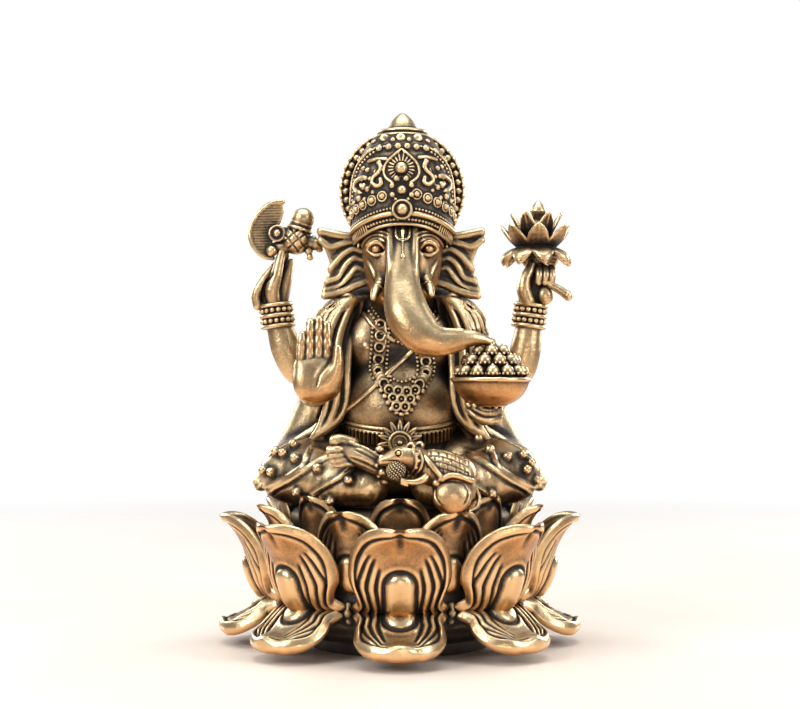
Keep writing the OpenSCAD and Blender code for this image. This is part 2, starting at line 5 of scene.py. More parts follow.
import bpy
import numpy as np
from collections import namedtuple
from mathutils import Euler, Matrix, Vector


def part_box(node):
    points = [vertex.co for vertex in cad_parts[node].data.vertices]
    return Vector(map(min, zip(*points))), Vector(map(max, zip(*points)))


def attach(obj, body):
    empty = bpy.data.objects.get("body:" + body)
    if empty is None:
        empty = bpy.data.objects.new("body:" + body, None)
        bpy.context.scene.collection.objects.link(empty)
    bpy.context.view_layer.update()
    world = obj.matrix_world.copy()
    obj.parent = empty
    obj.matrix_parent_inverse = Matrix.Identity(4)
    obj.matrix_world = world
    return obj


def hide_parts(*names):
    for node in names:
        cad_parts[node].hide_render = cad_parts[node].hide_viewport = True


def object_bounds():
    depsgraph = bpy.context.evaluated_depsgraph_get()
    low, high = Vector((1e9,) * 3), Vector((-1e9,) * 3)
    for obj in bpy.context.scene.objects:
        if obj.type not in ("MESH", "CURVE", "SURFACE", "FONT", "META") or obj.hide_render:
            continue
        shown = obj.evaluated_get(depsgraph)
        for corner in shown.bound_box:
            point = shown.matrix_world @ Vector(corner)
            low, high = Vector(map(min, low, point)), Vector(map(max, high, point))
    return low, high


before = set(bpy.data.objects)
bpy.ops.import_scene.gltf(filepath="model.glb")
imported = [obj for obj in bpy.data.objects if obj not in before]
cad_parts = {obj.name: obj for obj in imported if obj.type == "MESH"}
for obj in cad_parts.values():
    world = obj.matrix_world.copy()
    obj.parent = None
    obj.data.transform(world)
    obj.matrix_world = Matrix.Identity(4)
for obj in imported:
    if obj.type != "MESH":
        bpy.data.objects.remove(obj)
START_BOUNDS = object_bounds()

# ---- Frame: shapes are in millimetres for a figure 150 tall, and scaled to the frame's height ----

HEIGHT = 150.0
MM = (START_BOUNDS[1][2] - START_BOUNDS[0][2]) / HEIGHT


def box(node):
    """A node's lowest and highest corners, in the figure's millimetres."""
    low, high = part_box(node)
    return np.array(low) / MM, np.array(high) / MM


def middle(node):
    low, high = box(node)
    return (low + high) / 2


# ---- Clay: solids as signed distances on a grid, turned into a mesh at the end ----

Form = namedtuple("Form", "low high distance")
FAR = 9.0  # mm, the distance stored where no form has come near
LATHE_STEP = 0.05  # mm between the radii at which a turned outline is measured


def melt(a, b, blend):
    """The smaller of two distances, rounded where they meet."""
    low = np.minimum(a, b)
    if blend <= 0:
        return low
    near = np.maximum(blend - np.abs(a - b), 0) / blend
    return low - near * near * blend * 0.25


def spline(points, steps):
    """A smooth path through the points, whatever they hold: places, radii or both."""
    p = np.array(points, float)
    if len(p) < 3 or steps < 2:
        return p
    before = np.vstack([p[:1] * 2 - p[1:2], p[:-2]])
    after = np.vstack([p[2:], p[-1:] * 2 - p[-2:-1]])
    a, b, c, d = before, p[:-1], p[1:], after
    t = (np.arange(steps) / steps)[None, :, None]
    a, b, c, d = (q[:, None, :] for q in (a, b, c, d))
    path = 0.5 * (2 * b + (c - a) * t + (2 * a - 5 * b + 4 * c - d) * t * t + (3 * b - a - 3 * c + d)
                  * t**3)
    return np.vstack([path.reshape(-1, p.shape[1]), p[-1:]])


def along(points, spacing):
    """Points at even distances along a path of places."""
    p = spline(points, 8)[:, :3]
    run = np.concatenate([[0], np.cumsum(np.linalg.norm(np.diff(p, axis=0), axis=1))])
    count = max(int(round(run[-1] / spacing)), 1)
    stops = np.linspace(0, run[-1], count + 1)
    return np.stack([np.interp(stops, run, p[:, i]) for i in range(3)], 1)


class Clay:
    """A block of clay: the distance in mm to its skin at each grid point, negative inside."""

    def __init__(self, low, high, cell):
        self.low, self.cell = np.array(low, float), cell
        size = np.ceil((np.array(high, float) - self.low) / cell).astype(int) + 1
        self.d = np.full(size, FAR, np.float32)
        self.bed = None

    def window(self, low, high, margin):
        first = np.floor((np.array(low) - margin - self.low) / self.cell).astype(int)
        last = np.ceil((np.array(high) + margin - self.low) / self.cell).astype(int) + 1
        first, last = np.clip(first, 0, self.d.shape), np.clip(last, 0, self.d.shape)
        if (first >= last).any():
            return None
        axes = [(self.low[i] + self.cell * np.arange(first[i],
                                                     last[i])).astype(np.float32) for i in range(3)]
        grid = axes[0][:, None, None], axes[1][None, :, None], axes[2][None, None, :]
        return tuple(slice(a, b) for a, b in zip(first, last)), grid

    def _apply(self, form, blend, carve):
        found = self.window(form.low, form.high, blend + 2 * self.cell)
        if found is None:
            return
        cut, grid = found
        new = np.asarray(form.distance(*grid), np.float32)
        if carve:
            self.d[cut] = -melt(-self.d[cut], np.broadcast_to(new, self.d[cut].shape), blend)
        else:
            self.d[cut] = melt(self.d[cut], np.broadcast_to(new, self.d[cut].shape), blend)

    def add(self, form, blend=0.0):
        self._apply(form, blend, False)

    def cut(self, form, blend=0.0):
        self._apply(form, blend, True)

    def strand(self, points, blend=0.0, carve=False, steps=4, flat=1.0, up=(0, 0, 1)):
        """A round strand through points [x, y, z, radius]; flat squashes it along the direction up."""
        p = spline(points, steps)
        places, radii = p[:, :3], p[:, 3]
        reach = radii.max()
        found = self.window(places.min(0) - reach, places.max(0) + reach, blend + 2 * self.cell)
        if found is None:
            return
        cut = found[0]
        new = np.full(self.d[cut].shape, FAR, np.float32)
        start = [s.start for s in cut]
        up = np.array(up, float) / np.linalg.norm(up)
        for a, b, ra, rb in zip(places[:-1], places[1:], radii[:-1], radii[1:]):
            r = max(ra, rb)
            part = self.window(np.minimum(a, b) - r, np.maximum(a, b) + r, blend + 2 * self.cell)
            if part is None:
                continue
            inner = tuple(slice(s.start - o, s.stop - o) for s, o in zip(part[0], start))
            inner = tuple(slice(max(s.start, 0), s.stop) for s in inner)
            new[inner] = np.minimum(new[inner], segment_distance(part[1], a, b, ra, rb, flat, up))
        if carve:
            self.d[cut] = -melt(-self.d[cut], new, blend)
        else:
            self.d[cut] = melt(self.d[cut], new, blend)

    def settle(self):
        """Remembers the skin as it is now, for placing ornaments on it."""
        self.bed = self.d.copy()

    def sample(self, p):
        """The remembered distance at points, between the grid's own."""
        bed = self.d if self.bed is None else self.bed
        q = (np.atleast_2d(p) - self.low) / self.cell
        q = np.clip(q, 0, np.array(bed.shape) - 1.001)
        i = q.astype(int)
        f = q - i
        total = 0
        for dx in (0, 1):
            for dy in (0, 1):
                for dz in (0, 1):
                    weight = (f[:, 0] if dx else 1 - f[:, 0]) * (f[:, 1] if dy else 1 - f[:, 1]) * (f[:,
                            2] if dz else 1 - f[:, 2])
                    total = total + weight * bed[i[:, 0] + dx, i[:, 1] + dy, i[:, 2] + dz]
        return total

    def front(self, x, z):
        """The place where the skin is first met from the front at x and z."""
        count = self.d.shape[1]
        y = self.low[1] + self.cell * np.arange(count)
        p = np.stack([np.full(count, float(x)), y, np.full(count, float(z))], 1)
        d = self.sample(p)
        hit = np.nonzero(d < 0)[0]
        if len(hit) == 0 or hit[0] == 0:
            return np.array([x, y[int(np.argmin(d))], z])
        k = hit[0]
        return np.array([x, y[k - 1] + self.cell * d[k - 1] / (d[k - 1] - d[k]), z])

    def outward(self, p):
        step = self.cell * 1.5
        moves = np.vstack([np.eye(3), -np.eye(3)]) * step
        d = self.sample(np.array(p) + moves)
        g = d[:3] - d[3:]
        return g / (np.linalg.norm(g) + 1e-9)

    def draped(self, points, lift=0.0, spacing=0.8):
        """Points [x, z] laid on the front of the skin, lifted off it."""
        flat = along([[x, 0, z] for x, z in points], spacing)
        return np.array([self.front(p[0], p[2]) - [0, lift, 0] for p in flat])

    def ridge(self, points, radius, lift=0.0, blend=0.3, carve=False, taper=False):
        """A raised line, or a carved one, along points [x, z] on the front of the skin."""
        path = self.draped(points, lift, max(self.cell * 2.5, 0.6))
        t = np.linspace(0, 1, len(path))
        r = radius * (np.sqrt(np.clip(1 - (2 * t - 1) ** 6, 0.05, 1)) if taper else np.ones(len(path)))
        self.strand(np.column_stack([path, r]), blend, carve, steps=1)

    def skin(self):
        """A mesh of the surface where the distance is nil, by surface nets."""
        d = self.d
        inside = d < 0
        count = np.zeros(np.array(d.shape) - 1, np.int8)
        corners = [(a, b, c) for a in (0, 1) for b in (0, 1) for c in (0, 1)]
        for a, b, c in corners:
            count += inside[a : d.shape[0] - 1 + a, b : d.shape[1] - 1 + b, c : d.shape[2] - 1 + c]
        cells = np.argwhere((count > 0) & (count < 8))
        index = np.full(count.shape, -1, np.int32)
        index[tuple(cells.T)] = np.arange(len(cells))
        total, crossings = np.zeros((len(cells), 3)), np.zeros(len(cells))
        for axis in range(3):
            step = np.eye(3, dtype=int)[axis]
            others = [k for k in range(3) if k != axis]
            for u in (0, 1):
                for v in (0, 1):
                    first = np.zeros(3, int)
                    first[others[0]], first[others[1]] = u, v
                    a = d[tuple((cells + first).T)]
                    b = d[tuple((cells + first + step).T)]
                    crossed = (a < 0) != (b < 0)
                    t = np.where(crossed, a / np.where(crossed, a - b, 1), 0)
                    total += crossed[:, None] * (first + t[:, None] * step)
                    crossings += crossed
        verts = self.low + self.cell * (cells + total / crossings[:, None])
        faces = []
        for axis in range(3):
            u, v = (axis + 1) % 3, (axis + 2) % 3
            low = [slice(None)] * 3
            high = [slice(None)] * 3
            low[axis], high[axis] = slice(0, -1), slice(1, None)
            change = inside[tuple(low)] != inside[tuple(high)]
            at = np.argwhere(change)
            at = at[(at[:, u] > 0) & (at[:, v] > 0) & (at[:, u] < count.shape[u]) & (at[:,
                    v] < count.shape[v])]
            eu, ev = np.eye(3, dtype=int)[u], np.eye(3, dtype=int)[v]
            quad = np.stack([index[tuple((at - o).T)] for o in (eu + ev, ev, 0 * eu, eu)], 1)
            flip = ~inside[tuple(at.T)]
            quad[flip] = quad[flip][:, ::-1]
            faces.append(quad)
        return verts, np.vstack(faces)


def segment_distance(grid, a, b, ra, rb, flat, up):
    x, y, z = grid
    run = b - a
    length2 = max(float(run @ run), 1e-9)
    px, py, pz = x - a[0], y - a[1], z - a[2]
    t = np.clip((px * run[0] + py * run[1] + pz * run[2]) / length2, 0, 1)
    px, py, pz = px - t * run[0], py - t * run[1], pz - t * run[2]
    if flat != 1.0:
        rise = (px * up[0] + py * up[1] + pz * up[2]) * (1 / flat - 1)
        px, py, pz = px + rise * up[0], py + rise * up[1], pz + rise * up[2]
        return (np.sqrt(px * px + py * py + pz * pz) - (ra + t * (rb - ra))) * min(flat, 1.0)
    return np.sqrt(px * px + py * py + pz * pz) - (ra + t * (rb - ra))


def turned(turn):
    return np.array(Euler([math.radians(a) for a in turn]).to_matrix())


def ball(centre, r):
    c = np.array(centre, float)
    return Form(c - r, c + r, lambda x, y,
                z: np.sqrt((x - c[0]) ** 2 + (y - c[1]) ** 2 + (z - c[2]) ** 2) - r)


def egg(centre, radii, turn=(0, 0, 0)):
    c, r, m = np.array(centre, float), np.array(radii, float), turned(turn)
    reach = np.abs(m) @ r

    def distance(x, y, z):
        p = (x - c[0], y - c[1], z - c[2])
        q = [m[0][i] * p[0] + m[1][i] * p[1] + m[2][i] * p[2] for i in range(3)]
        near = np.sqrt(sum((q[i] / r[i]) ** 2 for i in range(3)))
        slope = np.sqrt(sum((q[i] / r[i] ** 2) ** 2 for i in range(3))) + 1e-6
        return near * (near - 1) / slope

    return Form(c - reach, c + reach, distance)


def polar(centre, axis):
    c, n = np.array(centre, float), np.array(axis, float)
    n = n / np.linalg.norm(n)

    def split(x, y, z):
        px, py, pz = x - c[0], y - c[1], z - c[2]
        h = px * n[0] + py * n[1] + pz * n[2]
        return np.sqrt(np.maximum(px * px + py * py + pz * pz - h * h, 0)), h

    return c, split


def ring(centre, axis, radius, r):
    c, split = polar(centre, axis)

    def distance(x, y, z):
        out, h = split(x, y, z)
        return np.sqrt((out - radius) ** 2 + h * h) - r

    return Form(c - radius - r, c + radius + r, distance)


def disc(centre, axis, radius, half, edge=0.2):
    c, split = polar(centre, axis)

    def distance(x, y, z):
        out, h = split(x, y, z)
        a, b = out - radius + edge, np.abs(h) - half + edge
        return np.sqrt(np.maximum(a, 0) ** 2 + np.maximum(b, 0) ** 2) + np.minimum(np.maximum(a, b),
                0) - edge

    reach = math.hypot(radius, half)
    return Form(c - reach, c + reach, distance)


def outline_distance(u, v, outline):
    """Distance to a closed outline in the plane, negative inside."""
    best = np.full(np.broadcast(u, v).shape, 1e9)
    inside = np.zeros(best.shape, bool)
    points = np.array(outline, float)
    for a, b in zip(points, np.roll(points, -1, axis=0)):
        run = b - a
        t = np.clip(((u - a[0]) * run[0] + (v - a[1]) * run[1]) / max(run @ run, 1e-9), 0, 1)
        best = np.minimum(best, (u - a[0] - t * run[0]) ** 2 + (v - a[1] - t * run[1]) ** 2)
        if a[1] != b[1]:
            crosses = ((a[1] > v) != (b[1] > v)) & (u < run[0] * (v - a[1]) / (b[1] - a[1]) + a[0])
            inside ^= crosses
    return np.where(inside, -1, 1) * np.sqrt(best)


def plate(outline, y_mid, half, edge=0.3):
    """A plate of an outline in x and z, with its middle at y_mid, which may be a function of x and z."""
    points = np.array(outline, float)
    low, high = points.min(0), points.max(0)
    mid = y_mid if callable(y_mid) else (lambda x, z: y_mid)
    edges = [mid(a, b) for a in (low[0], high[0]) for b in (low[1], high[1])]

    def distance(x, y, z):
        a = outline_distance(x[:, :, 0], z[0, 0][None, :], points)[:, None, :] + edge
        b = np.abs(y - mid(x, z)) - half + edge
        return np.sqrt(np.maximum(a, 0) ** 2 + np.maximum(b, 0) ** 2) + np.minimum(np.maximum(a, b),
                0) - edge

    return Form(np.array([low[0], min(edges) - half, low[1]]),
                np.array([high[0], max(edges) + half, high[1]]), distance)


def lathe(centre, outline):
    """A turned solid: the outline is [radius, height] round the vertical axis at the centre."""
    c = np.array(centre, float)
    points = np.array(outline, float)
    points = np.vstack([[0, points[0][1]], points, [0, points[-1][1]]])
    mirrored = np.vstack([points, points[::-1] * [-1, 1]])
    reach = points[:, 0].max()

    def distance(x, y, z):
        out = np.sqrt((x - c[0]) ** 2 + (y - c[1]) ** 2)[:, :, 0]
        steps = np.arange(0, out.max() + 2 * LATHE_STEP, LATHE_STEP)
        table = outline_distance(steps[:, None], (z[0, 0] - c[2])[None, :], mirrored)
        at = out / LATHE_STEP
        k = np.minimum(at.astype(int), len(steps) - 2)
        f = (at - k)[:, :, None]
        return table[k] * (1 - f) + table[k + 1] * f

    return Form(c + [-reach, -reach, points[:, 1].min()], c + [reach, reach, points[:, 1].max()], distance)


# ---- Meshes and pieces ----

FINE_RELIEF, BROAD_RELIEF = 0.09, 0.28  # mm of standing proud that count as fully worn


def mesh_from(name, verts, faces):
    mesh = bpy.data.meshes.new(name)
    verts, faces = np.asarray(verts, np.float32) * MM, np.asarray(faces, np.int32)
    sides = faces.shape[1]
    mesh.vertices.add(len(verts))
    mesh.vertices.foreach_set("co", verts.ravel())
    mesh.loops.add(faces.size)
    mesh.loops.foreach_set("vertex_index", faces.ravel())
    mesh.polygons.add(len(faces))
    mesh.polygons.foreach_set("loop_start", np.arange(0, faces.size, sides, dtype=np.int32))
    mesh.polygons.foreach_set("loop_total", np.full(len(faces), sides, np.int32))
    mesh.polygons.foreach_set("use_smooth", np.ones(len(faces), bool))
    mesh.update(calc_edges=True)
    mesh.validate()
    return mesh


def neighbour_mean(values, edges, count):
    a, b = edges[:, 0], edges[:, 1]
    degree = np.bincount(a, minlength=count) + np.bincount(b, minlength=count)
    out = np.empty_like(values)
    for i in range(values.shape[1]):
        total = np.bincount(a, values[b, i], count) + np.bincount(b, values[a, i], count)
        out[:, i] = total / np.maximum(degree, 1)
    return out


def relax(verts, faces, rounds, amount=0.5):
    """Takes the grid's fine steps out of a skin."""
    edges = np.vstack([faces[:, [i, (i + 1) % faces.shape[1]]] for i in range(faces.shape[1])])
    for _ in range(rounds):
        verts = verts * (1 - amount) + neighbour_mean(verts, edges, len(verts)) * amount
    return verts


def mark_wear(mesh, fine=5, broad=28):
    """Stores how proud each point stands: above 0.5 on crests, below it in hollows."""
    n = len(mesh.vertices)
    co, normal = np.empty(n * 3, np.float32), np.empty(n * 3, np.float32)
    mesh.vertices.foreach_get("co", co)
    mesh.vertices.foreach_get("normal", normal)
    edges = np.empty(len(mesh.edges) * 2, np.int32)
    mesh.edges.foreach_get("vertices", edges)
    co, normal, edges = (co.reshape(-1, 3) / MM).astype(float), normal.reshape(-1, 3), edges.reshape(-1, 2)
    value, smooth = np.zeros(n), co
    for k in range(1, broad + 1):
        smooth = neighbour_mean(smooth, edges, n)
        if k in (fine, broad):
            proud = ((co - smooth) * normal).sum(1)
            value += np.clip(proud / (FINE_RELIEF if k == fine else BROAD_RELIEF), -1, 1) * 0.5
    value = neighbour_mean(value[:, None], edges, n)[:, 0]
    layer = mesh.attributes.new("wear", "FLOAT", "POINT")
    layer.data.foreach_set("value", (0.5 + 0.5 * value).astype(np.float32))


def piece(name, mesh, material, nodes):
    """Puts a mesh in view on the root body, standing for the CAD nodes named."""
    mesh.materials.append(material)
    mark_wear(mesh)
    obj = bpy.data.objects.new(name, mesh)
    bpy.context.scene.collection.objects.link(obj)
    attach(obj, "root")
    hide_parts(*nodes)
    return obj


def clay_piece(name, clay, material, nodes, rounds=1):
    """The clay's skin as a visible piece, with its grid steps relaxed."""
    verts, faces = clay.skin()
    return piece(name, mesh_from(name, relax(verts, faces, rounds), faces), material, nodes)


def joined(parts):
    """One list of points and faces from several."""
    verts, faces, start = [], [], 0
    for v, f in parts:
        verts.append(np.asarray(v, float))
        faces.append(np.asarray(f, int) + start)
        start += len(v)
    return np.vstack(verts), np.vstack(faces)


# ---- Materials ----


class Nodes:
    """A short way to write a node tree."""

    def __init__(self, name):
        self.material = bpy.data.materials.new(name)
        self.material.use_nodes = True
        self.tree = self.material.node_tree
        self.shader = self.tree.nodes["Principled BSDF"]
        coordinates = self.tree.nodes.new("ShaderNodeTexCoord")
        self.place = coordinates.outputs["Object"]

    def link(self, value, socket):
        if isinstance(value, bpy.types.NodeSocket):
            self.tree.links.new(value, socket)
        else:
            socket.default_value = value

    def math(self, operation, a, b=0.0, c=0.0, clamp=False):
        node = self.tree.nodes.new("ShaderNodeMath")
        node.operation, node.use_clamp = operation, clamp
        for value, socket in zip((a, b, c), node.inputs):
            self.link(value, socket)
        return node.outputs[0]

    def noise(self, size, detail=3.0, distortion=0.0):
        """Noise with lumps of a size in millimetres, about 0.5."""
        node = self.tree.nodes.new("ShaderNodeTexNoise")
        self.link(self.place, node.inputs["Vector"])
        node.inputs["Scale"].default_value = 1 / (size * MM)
        node.inputs["Detail"].default_value = detail
        node.inputs["Distortion"].default_value = distortion
        return node.outputs["Fac"]

    def attribute(self, name):
        node = self.tree.nodes.new("ShaderNodeAttribute")
        node.attribute_name = name
        return node.outputs["Fac"]

    def shade_and_patina(self, distance):
        """1 in the open, near 0 deep in a crevice."""
        node = self.tree.nodes.new("ShaderNodeAmbientOcclusion")
        node.samples = 8
        node.inputs["Distance"].default_value = distance * MM
        return node.outputs["AO"]

    def upward(self):
        node = self.tree.nodes.new("ShaderNodeNewGeometry")
        parts = self.tree.nodes.new("ShaderNodeSeparateXYZ")
        self.link(node.outputs["Normal"], parts.inputs[0])
        return parts.outputs["Z"]

    def ramp(self, value, stops):
        node = self.tree.nodes.new("ShaderNodeValToRGB")
        marks = node.color_ramp.elements
        while len(marks) < len(stops):
            marks.new(0.5)
        for mark, (at, colour) in zip(marks, stops):
            mark.position, mark.color = at, (*colour, 1)
        self.link(value, node.inputs[0])
        return node.outputs["Color"]

    def mix(self, share, a, b):
        node = self.tree.nodes.new("ShaderNodeMix")
        node.data_type = "RGBA"
        self.link(share, node.inputs[0])
        self.link(a if isinstance(a, bpy.types.NodeSocket) else (*a, 1), node.inputs[6])
        self.link(b if isinstance(b, bpy.types.NodeSocket) else (*b, 1), node.inputs[7])
        return node.outputs[2]

    def span(self, value, low, high, to_low=0.0, to_high=1.0):
        node = self.tree.nodes.new("ShaderNodeMapRange")
        for k, v in enumerate((value, low, high, to_low, to_high)):
            self.link(v, node.inputs[k])
        return node.outputs[0]

    def bump(self, height, distance, strength=1.0, below=None):
        node = self.tree.nodes.new("ShaderNodeBump")
        node.inputs["Distance"].default_value = distance * MM
        node.inputs["Strength"].default_value = strength
        self.link(height, node.inputs["Height"])
        if below is not None:
            self.link(below, node.inputs["Normal"])
        return node.outputs["Normal"]

    def set(self, **sockets):
        for name, value in sockets.items():
            self.link(value, self.shader.inputs[name.replace("_", " ").title()])


# The darkest colour: patina in the hollows, and painted shade under and between parts
PATINA_AND_SHADE = (0.018, 0.014, 0.012)
UMBER = (0.065, 0.050, 0.034)
OLIVE = (0.185, 0.148, 0.098)
BRASS = (0.43, 0.325, 0.185)
GOLD = (0.68, 0.53, 0.315)
# Colour of the painted warm reflection on faces turned down
REFLECTED_COPPER = (0.62, 0.27, 0.085)


# mm: how far the painted shade and patina reach into a crevice, the size of the patches of patina, and the
# size of the casting's grain
CREVICE_REACH, PATCH_SIZE, GRAIN_SIZE = 5.0, 7.0, 0.7


def cast_brass(name, polish=0.0, reflection_strength=0.5, grain=1.0, contrast=1.5):
    """Cast brass: near black in crevices from patina and painted shade, rubbed bright where it stands
    proud, ruddier facing down as a painted reflection.
    """
    n = Nodes(name)
    shade_and_patina = n.shade_and_patina(CREVICE_REACH)
    cloud, speck = n.noise(PATCH_SIZE, 5.0, 0.6), n.noise(GRAIN_SIZE, 3.0)
    wear = n.attribute("wear")
    # Occlusion darkens crevices and parts tucked under or between others: patina in the hollows plus
    # painted shade
    level = n.math("MULTIPLY_ADD", n.math("POWER", shade_and_patina, 1.9), 0.66, -0.20 + polish)
    level = n.math("MULTIPLY_ADD", n.math("SUBTRACT", wear, 0.5), contrast, level)
    level = n.math("MULTIPLY_ADD", n.math("SUBTRACT", cloud, 0.5), 0.55, level)
    level = n.math("MULTIPLY_ADD", n.math("SUBTRACT", speck, 0.5), 0.45 * grain, level, clamp=True)
    colour = n.ramp(level, [(0.0, PATINA_AND_SHADE), (0.16, UMBER), (0.36, OLIVE), (0.62, BRASS), (0.92, GOLD)])
    # Faces turned down go coppery: a painted reflection of a warm surface below them
    painted_reflection = n.ramp(level, [(0.0, PATINA_AND_SHADE), (0.16, (0.07, 0.035, 0.016)), (0.40, (0.32, 0.145, 0.055)),
                           (0.7, REFLECTED_COPPER), (1.0, (0.80, 0.44, 0.185))])
    down = n.math("MULTIPLY", n.span(n.upward(), 0.35, -0.75), reflection_strength, clamp=True)
    n.set(base_color=n.mix(down, colour, painted_reflection))
    n.set(metallic=n.span(level, 0.02, 0.3, 0.55, 1.0))
    rough = n.span(level, 0.1, 0.85, 0.54, 0.33 - 0.4 * polish)
    n.set(roughness=n.math("MULTIPLY_ADD", n.math("SUBTRACT", cloud, 0.5), 0.16, rough, clamp=True))
    coarse = n.bump(n.noise(1.7, 4.0), 0.24, 0.55 * grain)
    n.link(n.bump(speck, 0.12, 0.7 * grain, below=coarse), n.shader.inputs["Normal"])
    return n.material


def black_enamel():
    n = Nodes("black_enamel")
    cloud, speck = n.noise(5.0), n.noise(0.4)
    n.set(base_color=n.ramp(cloud, [(0.3, (0.012, 0.011, 0.011)), (0.7, (0.035, 0.032, 0.03))]))
    n.set(roughness=n.span(speck, 0.3, 0.7, 0.32, 0.5))
    n.link(n.bump(speck, 0.03, 0.4), n.shader.inputs["Normal"])
    return n.material


def bright_steel():
    n = Nodes("steel")
    cloud = n.noise(1.2)
    n.set(base_color=n.ramp(cloud, [(0.3, (0.42, 0.42, 0.41)), (0.7, (0.62, 0.62, 0.61))]), metallic=1.0)
    n.set(roughness=n.span(cloud, 0.3, 0.7, 0.25, 0.42))
    n.link(n.bump(n.noise(0.3), 0.02, 0.4), n.shader.inputs["Normal"])
    return n.material


# ---- The studio ----

CAMERA_PLACE = (0.0, -460.0, 75.0)
CAMERA_LOOK_UP = 0.84
LENS = 72.5
FLOOR_RADIUS = 900.0


def camera():
    data = bpy.data.cameras.new("camera")
    data.lens, data.sensor_width = LENS, 36.0
    data.clip_start, data.clip_end = 0.01, 100
    obj = bpy.data.objects.new("camera", data)
    obj.location = Vector(CAMERA_PLACE) * MM
    obj.rotation_euler = (math.radians(90 + CAMERA_LOOK_UP), 0, 0)
    bpy.context.scene.collection.objects.link(obj)
    bpy.context.scene.camera = obj


def softbox(name, place, size, power, colour=(1, 1, 1), aim=(0, 0, 80)):
    data = bpy.data.lights.new(name, "AREA")
    data.shape, data.size, data.size_y = "RECTANGLE", size[0] * MM, size[1] * MM
    data.energy, data.color = power, colour
    obj = bpy.data.objects.new(name, data)
    obj.location = Vector(place) * MM
    obj.rotation_mode = "QUATERNION"
    obj.rotation_quaternion = (Vector(aim) - Vector(place)).to_track_quat("-Z", "Y")
    obj.visible_camera = False
    bpy.context.scene.collection.objects.link(obj)


def lights():
    softbox("key_left", (-420, -380, 330), (260, 320), 2.3)
    softbox("fill_right", (460, -300, 260), (200, 320), 1.5)
    softbox("top", (0, -40, 520), (420, 300), 1.95, aim=(0, 0, 60))
    softbox("back_left", (-380, 360, 260), (220, 260), 1.4)
    softbox("back_right", (380, 360, 220), (220, 260), 1.4)
    softbox("low_front", (60, -520, 30), (240, 60), 0.3, (1.0, 0.86, 0.7), aim=(0, 0, 30))


def sky():
    """White behind the object, and a dim studio with a lighter upper half in its reflections."""
    world = bpy.data.worlds.new("studio")
    bpy.context.scene.world = world
    bpy.context.scene.view_settings.view_transform = "Standard"
    world.use_nodes = True
    tree = world.node_tree
    out, flat = tree.nodes["World Output"], tree.nodes["Background"]
    flat.inputs["Color"].default_value = (1, 1, 1, 1)
    flat.inputs["Strength"].default_value = 1.0
    room = tree.nodes.new("ShaderNodeBackground")
    coordinates = tree.nodes.new("ShaderNodeTexCoord")
    parts = tree.nodes.new("ShaderNodeSeparateXYZ")
    ramp = tree.nodes.new("ShaderNodeValToRGB")
    ramp.color_ramp.elements[0].color = (0.30, 0.27, 0.24, 1)
    ramp.color_ramp.elements[1].color = (0.95, 0.95, 0.97, 1)
    ramp.color_ramp.elements[0].position, ramp.color_ramp.elements[1].position = 0.0, 0.8
    path = tree.nodes.new("ShaderNodeLightPath")
    mix = tree.nodes.new("ShaderNodeMixShader")
    tree.links.new(coordinates.outputs["Generated"], parts.inputs[0])
    tree.links.new(parts.outputs["Z"], ramp.inputs[0])
    tree.links.new(ramp.outputs[0], room.inputs["Color"])
    room.inputs["Strength"].default_value = 0.6
    tree.links.new(path.outputs["Is Camera Ray"], mix.inputs[0])
    tree.links.new(room.outputs[0], mix.inputs[1])
    tree.links.new(flat.outputs[0], mix.inputs[2])
    tree.links.new(mix.outputs[0], out.inputs["Surface"])


def floor():
    """A pale round table top that fades into the white studio."""
    angles = np.linspace(0, 2 * math.pi, 97)[:-1]
    rings = [0.0, 60.0, 150.0, 300.0, 600.0, FLOOR_RADIUS]
    verts = [[0, 0, -0.05]] + [[r * math.cos(a), r * math.sin(a), -0.05] for r in rings[1:] for a in angles]
    n = len(angles)
    faces = [[0, 1 + k, 1 + (k + 1) % n, 1 + (k + 1) % n] for k in range(n)]
    faces += [
        [1 + i * n + k, 1 + (i + 1) * n + k, 1 + (i + 1) * n + (k + 1) % n, 1 + i * n + (k + 1) % n]
        for i in range(len(rings) - 2)
        for k in range(n)
    ]
    mesh = bpy.data.meshes.new("floor")
    mesh.from_pydata((np.array(verts) * MM).tolist(), [], [f[:3] if f[2] == f[3] else f for f in faces])
    m = Nodes("floor")
    cloud = m.noise(60.0)
    m.set(base_color=m.ramp(cloud, [(0.2, (0.74, 0.66, 0.58)), (0.8, (0.80, 0.73, 0.66))]), roughness=0.42)
    length = m.tree.nodes.new("ShaderNodeVectorMath")
    length.operation = "LENGTH"
    m.link(m.place, length.inputs[0])
    far = m.span(length.outputs["Value"], 170 * MM, FLOOR_RADIUS * 0.62 * MM)
    clear = m.tree.nodes.new("ShaderNodeBsdfTransparent")
    mix = m.tree.nodes.new("ShaderNodeMixShader")
    m.link(far, mix.inputs[0])
    m.link(m.shader.outputs[0], mix.inputs[1])
    m.link(clear.outputs[0], mix.inputs[2])
    m.link(mix.outputs[0], m.tree.nodes["Material Output"].inputs["Surface"])
    mesh.materials.append(m.material)
    obj = bpy.data.objects.new("floor", mesh)
    bpy.context.scene.collection.objects.link(obj)


# ---- Lotus ----

# spine: radius, height, half width, cup and wall, from root to tip
# lip: strength of the rolled edge
# boss: its top, half width and height
# grooves: each one's place across (0 to 1), and the share of the length where it ends
# columns, rows: points across and along
# face: 1 shows the inside of the curve, -1 the outside
Petal = namedtuple("Petal", "spine lip boss grooves columns rows face")


def bell(x, width):
    return np.exp(-((x / width) ** 2))


